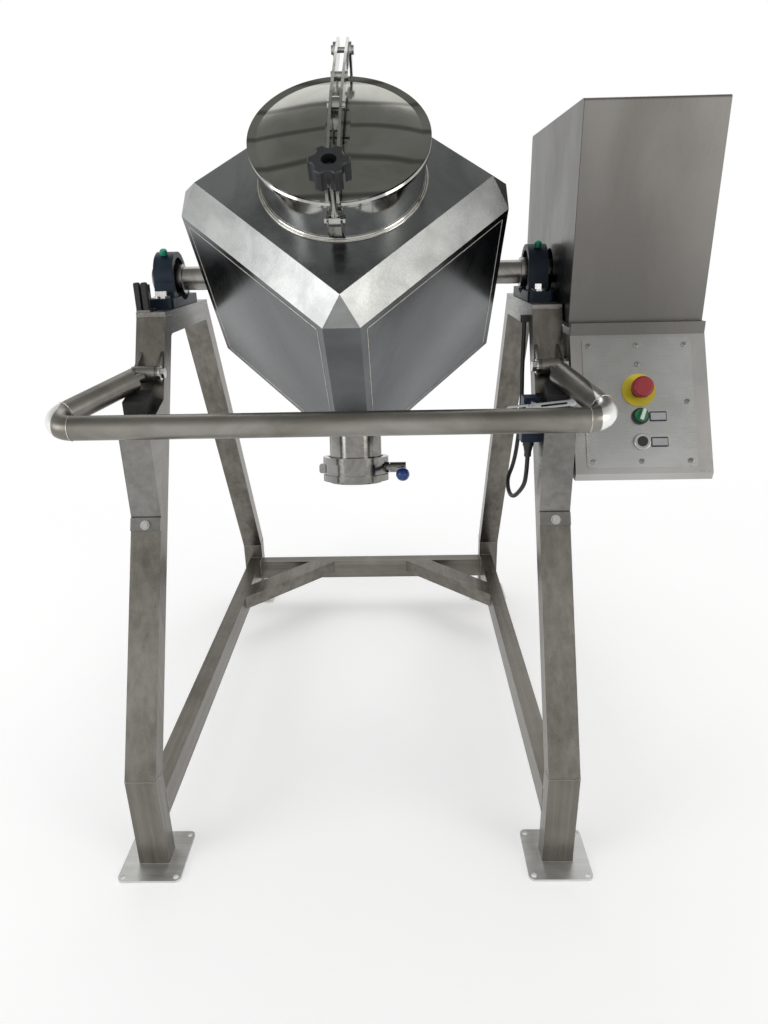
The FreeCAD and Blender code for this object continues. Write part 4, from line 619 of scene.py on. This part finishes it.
def frame_seams():
    """Beads at the feet, the legs' bends, the heads and the rails' ends."""
    foot = rectangle_z(LEG_X, POST_Y, FOOT_TOP_Z)
    head = rectangle_z(LEG_X, HEAD_Y, HEAD_UNDER_Z)
    bend = loop([(LEG_X[0], POST_Y[1], BEND_Z[1]), (LEG_X[1], POST_Y[1], BEND_Z[1]),
                 (LEG_X[1], POST_Y[0], BEND_Z[0]), (LEG_X[0], POST_Y[0], BEND_Z[0])])
    rail = loop([(RAIL_X[0], POST_Y[0], RAIL_Z[0]), (RAIL_X[1], POST_Y[0], RAIL_Z[0]),
                 (RAIL_X[1], POST_Y[0], RAIL_Z[1]), (RAIL_X[0], POST_Y[0], RAIL_Z[1])])
    back = loop([(RAIL_X[0], REAR_RAIL_Y[0], RAIL_Z[0]), (RAIL_X[0], REAR_RAIL_Y[1], RAIL_Z[0]),
                 (RAIL_X[0], REAR_RAIL_Y[1], RAIL_Z[1]), (RAIL_X[0], REAR_RAIL_Y[0], RAIL_Z[1])])
    lines = []
    for side in (-1.0, 1.0):
        for end in (-1.0, 1.0):
            for line in (foot, head, bend, rail):
                lines.append(mirrored(line, side, end))
        lines.append(mirrored(back, side, 1.0))
    return lines


frame_mesh = bead_mesh("frame_beads", frame_seams(), FRAME_BEAD_RADIUS, FRAME_BEAD_PITCH)
piece("frame_beads", frame_mesh, "frame_weld", "frame")


# Weld rings of the guard's elbows

GUARD_LINE = (
    (-0.400, -0.250, 0.928), (-0.541, -0.450, 0.8673), (0.480, -0.450, 0.8673), (0.400, -0.250, 0.928),
)
GUARD_ELBOW = 0.034
GUARD_RADIUS = 0.022
GUARD_BEAD_RADIUS = 0.0009
GUARD_BEAD_PITCH = 0.0035


def elbow_rings():
    """Circles round the tube where each elbow meets its two runs."""
    rings = []
    for before, corner, after in zip(GUARD_LINE, GUARD_LINE[1:], GUARD_LINE[2:]):
        middle = Vector(corner)
        back = (Vector(before) - middle).normalized()
        ahead = (Vector(after) - middle).normalized()
        setback = GUARD_ELBOW / math.tan(back.angle(ahead) / 2.0)
        for run in (back, ahead):
            turn = run.to_track_quat("Z", "X").to_matrix().to_4x4()
            place = Matrix.Translation(middle + run * setback) @ turn
            rings.append(circle(place, 0.0, GUARD_RADIUS + SEAM_LIFT, count=40))
    return rings


guard_mesh = bead_mesh("guard_beads", elbow_rings(), GUARD_BEAD_RADIUS, GUARD_BEAD_PITCH)
piece("guard_beads", guard_mesh, "weld", "guard")


# Small parts of the operators

def slab_mesh(name, outline, low, high, bevel):
    """An upright slab over an outline in the panel's frame, with softened edges."""
    mesh = bmesh.new()
    bottom = [mesh.verts.new((x, -v, low)) for x, v in outline]
    top = [mesh.verts.new((x, -v, high)) for x, v in outline]
    mesh.faces.new(bottom)
    mesh.faces.new(list(reversed(top)))
    count = len(outline)
    for index in range(count):
        after = (index + 1) % count
        mesh.faces.new((bottom[index], top[index], top[after], bottom[after]))
    bmesh.ops.recalc_face_normals(mesh, faces=mesh.faces)
    bmesh.ops.bevel(mesh, geom=list(mesh.edges), offset=bevel, segments=2, affect="EDGES")
    bmesh.ops.transform(mesh, matrix=PANEL_FRAME, verts=mesh.verts)
    result = bpy.data.meshes.new(name)
    mesh.to_mesh(result)
    mesh.free()
    return result


SELECTOR = (0.127, 0.164)
BUTTON = (0.1275, 0.214)
LEGEND_INSET_X = (0.0195, 0.0485)
LEGEND_INSET_V = (-0.0065, 0.0075)
LEGEND_LOW = 0.0032
LEGEND_HIGH = 0.0040
LEGEND_BEVEL = 0.0002
POINTER_TURN = math.radians(20.0)
POINTER_TIP = (0.0030, 0.0112)
POINTER_HEEL = (0.0036, 0.0112)
POINTER_LOW = 0.0215
POINTER_HIGH = 0.0225
POINTER_BEVEL = 0.0003


def legend_insets():
    """The blank foils let into the two label holders."""
    for name, (x, v) in (("selector_legend", SELECTOR), ("button_legend", BUTTON)):
        left, right = x + LEGEND_INSET_X[0], x + LEGEND_INSET_X[1]
        high, low = v + LEGEND_INSET_V[0], v + LEGEND_INSET_V[1]
        outline = [(left, high), (right, high), (right, low), (left, low)]
        mesh = slab_mesh(name, outline, LEGEND_LOW, LEGEND_HIGH, LEGEND_BEVEL)
        piece(name, mesh, "foil", "frame")


def selector_pointer():
    """The pale wedge let into the grip, pointing at the chosen position."""
    x, v = SELECTOR
    tip, heel = Vector(POINTER_TIP), Vector(POINTER_HEEL)
    corners = [(-tip.x, -tip.y), (tip.x, -tip.y), (heel.x, heel.y), (-heel.x, heel.y)]
    cosine, sine = math.cos(POINTER_TURN), math.sin(POINTER_TURN)
    outline = [(x + a * cosine - b * sine, v + a * sine + b * cosine) for a, b in corners]
    mesh = slab_mesh("selector_pointer", outline, POINTER_LOW, POINTER_HIGH, POINTER_BEVEL)
    piece("selector_pointer", mesh, "white", "selector")


legend_insets()
selector_pointer()


# Camera, light and floor

CAMERA_PLACE = Vector((0.0958, -1.6526, 1.1637))
CAMERA_PAN = math.radians(-1.204)
CAMERA_TILT = math.radians(21.033)
CAMERA_ROLL = math.radians(-1.242)
FOCAL_PIXELS = 703.6
PICTURE_HEIGHT = 1024.0
SENSOR_HEIGHT = 36.0


def make_camera():
    """The camera that matches the photograph's view."""
    ahead = Vector((math.sin(CAMERA_PAN) * math.cos(CAMERA_TILT),
                    math.cos(CAMERA_PAN) * math.cos(CAMERA_TILT), -math.sin(CAMERA_TILT)))
    right = ahead.cross(Vector((0.0, 0.0, 1.0))).normalized()
    up = right.cross(ahead)
    turned_right = math.cos(CAMERA_ROLL) * right + math.sin(CAMERA_ROLL) * up
    turned_up = math.cos(CAMERA_ROLL) * up - math.sin(CAMERA_ROLL) * right
    data = bpy.data.cameras.new("camera")
    data.sensor_fit = "VERTICAL"
    data.sensor_height = SENSOR_HEIGHT
    data.lens = SENSOR_HEIGHT * FOCAL_PIXELS / PICTURE_HEIGHT
    data.clip_start = 0.05
    data.clip_end = 60.0
    camera = bpy.data.objects.new("camera", data)
    bpy.context.scene.collection.objects.link(camera)
    turn = Matrix((turned_right, turned_up, -ahead)).transposed().to_4x4()
    camera.matrix_world = Matrix.Translation(CAMERA_PLACE) @ turn
    bpy.context.scene.camera = camera


def lamp(name, place, aim, size, power, colour=(1.0, 1.0, 1.0)):
    data = bpy.data.lights.new(name, "AREA")
    data.shape = "RECTANGLE"
    data.size, data.size_y = size
    data.energy = power
    data.color = colour
    light = bpy.data.objects.new(name, data)
    bpy.context.scene.collection.objects.link(light)
    light.location = place
    light.rotation_euler = (Vector(aim) - Vector(place)).to_track_quat("-Z", "Y").to_euler()


def any_of(tree, outputs):
    """The largest of several light path outputs."""
    value = outputs[0]
    for other in outputs[1:]:
        node = tree.nodes.new("ShaderNodeMath")
        node.operation = "MAXIMUM"
        tree.links.new(value, node.inputs[0])
        tree.links.new(other, node.inputs[1])
        value = node.outputs["Value"]
    return value


FILL_LEVEL = 0.62
CEILING_STOPS = ((0.58, (1.0, 1.0, 1.0)), (0.80, (0.62, 0.62, 0.60)), (0.97, (0.32, 0.32, 0.31)))


def ceiling_ramp(add):
    """From white at the horizon to grey overhead."""
    ramp = add("ShaderNodeValToRGB")
    stops = ramp.color_ramp.elements
    stops[0].position = CEILING_STOPS[0][0]
    stops[1].position = CEILING_STOPS[-1][0]
    middle = stops.new(CEILING_STOPS[1][0])
    middle.position = CEILING_STOPS[1][0]
    for stop, (place, colour) in zip(stops, CEILING_STOPS):
        stop.color = (*colour, 1.0)
    return ramp


def make_world():
    """White behind the object, for the camera and in metal; metal also shows a darker ceiling."""
    world = bpy.data.worlds.new("studio")
    bpy.context.scene.world = world
    world.use_nodes = True
    tree = world.node_tree
    tree.nodes.clear()
    add = tree.nodes.new
    path = add("ShaderNodeLightPath")
    coordinates = add("ShaderNodeTexCoord")
    split = add("ShaderNodeSeparateXYZ")
    tree.links.new(coordinates.outputs["Generated"], split.inputs[0])
    ramp = ceiling_ramp(add)
    height = add("ShaderNodeMapRange")
    height.inputs["From Min"].default_value = -1.0
    height.inputs["From Max"].default_value = 1.0
    tree.links.new(split.outputs["Z"], height.inputs["Value"])
    tree.links.new(height.outputs["Result"], ramp.inputs["Fac"])
    seen = add("ShaderNodeBackground")
    seen.inputs["Color"].default_value = (1.0, 1.0, 1.0, 1.0)
    room = add("ShaderNodeBackground")
    tree.links.new(ramp.outputs["Color"], room.inputs["Color"])
    fill = add("ShaderNodeBackground")
    fill.inputs["Color"].default_value = (FILL_LEVEL, FILL_LEVEL, FILL_LEVEL, 1.0)
    first = add("ShaderNodeMixShader")
    tree.links.new(any_of(tree, [path.outputs["Is Glossy Ray"], path.outputs["Is Transmission Ray"]]),
                   first.inputs["Fac"])
    tree.links.new(fill.outputs[0], first.inputs[1])
    tree.links.new(room.outputs[0], first.inputs[2])
    second = add("ShaderNodeMixShader")
    tree.links.new(path.outputs["Is Camera Ray"], second.inputs["Fac"])
    tree.links.new(first.outputs[0], second.inputs[1])
    tree.links.new(seen.outputs[0], second.inputs[2])
    output = add("ShaderNodeOutputWorld")
    tree.links.new(second.outputs[0], output.inputs["Surface"])


FLOOR_RADIUS = 14.0
FLOOR_FADE = (1.0, 3.6)
FLOOR_GLOW = 0.30
FLOOR_DROP = 0.0005
FLOOR_NEAR = (0.84, 0.84, 0.84)
FLOOR_FAR = (0.02, 0.02, 0.02)


def make_floor():
    """A pale floor that keeps the shadow and fades to white with distance."""
    mesh = bmesh.new()
    bmesh.ops.create_circle(mesh, cap_ends=True, segments=96, radius=FLOOR_RADIUS)
    data = bpy.data.meshes.new("floor")
    mesh.to_mesh(data)
    mesh.free()
    floor = bpy.data.objects.new("floor", data)
    bpy.context.scene.collection.objects.link(floor)
    floor.location.z = -FLOOR_DROP
    s = Surface("floor", FLOOR_NEAR, roughness=0.9)
    s.set("Specular IOR Level", 0.0)
    path = s.add("ShaderNodeLightPath")
    seen = any_of(s.tree, [path.outputs["Is Camera Ray"], path.outputs["Is Glossy Ray"],
                           path.outputs["Is Transmission Ray"]])
    distance = s.add("ShaderNodeVectorMath", operation="LENGTH")
    s.link(s.place, distance.inputs[0])
    far = s.ranged(distance.outputs["Value"], 0.0, 1.0, FLOOR_FADE[0], FLOOR_FADE[1])
    s.colour(s.mixed(far, FLOOR_NEAR, FLOOR_FAR))
    s.set("Emission Color", (1.0, 1.0, 1.0, 1.0))
    glow = s.ranged(far, FLOOR_GLOW, 1.0, 0.0, 1.0)
    s.link(s.math("MULTIPLY", seen, glow), s.shader.inputs["Emission Strength"])
    data.materials.append(s.material)


make_camera()
make_world()
make_floor()
lamp("left_front", (-3.2, -2.2, 1.7), (0.0, 0.0, 1.0), (2.0, 1.6), 34.0)
lamp("right_front", (3.2, -2.6, 1.8), (0.0, 0.0, 1.0), (1.6, 1.6), 24.0, (1.0, 0.97, 0.92))
lamp("above", (0.2, 2.6, 4.2), (0.0, 0.0, 0.8), (4.0, 2.6), 40.0)
bpy.context.scene.view_settings.view_transform = "Standard"


# Cord of the limit switch

CABLE_ROUTE = [
    (0.35675, -0.295, 0.757), (0.35675, -0.295, 0.719), (0.35475, -0.280, 0.686),
    (0.33775, -0.240, 0.645), (0.33575, -0.175, 0.666), (0.35575, -0.155, 0.703),
    (0.35975, -0.175, 0.790), (0.36575, -0.150, 0.850), (0.36725, -0.127, 0.905),
    (0.36725, -0.127, 1.000),
]
CABLE_DIAMETER = 0.009


def make_cable():
    """The cable as one curve, held at both ends."""
    curve = bpy.data.curves.new("cable", "CURVE")
    curve.dimensions = "3D"
    curve.bevel_depth = CABLE_DIAMETER / 2.0
    curve.bevel_resolution = 5
    curve.resolution_u = 16
    spline = curve.splines.new("NURBS")
    spline.points.add(len(CABLE_ROUTE) - 1)
    for point, place in zip(spline.points, CABLE_ROUTE):
        point.co = (*place, 1.0)
    spline.order_u = 3
    spline.use_endpoint_u = True
    curve.use_fill_caps = True
    cable = bpy.data.objects.new("cable", curve)
    bpy.context.scene.collection.objects.link(cable)
    curve.materials.append(materials["cable"])
    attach(cable, "frame")
    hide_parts("switch_cable")


make_cable()
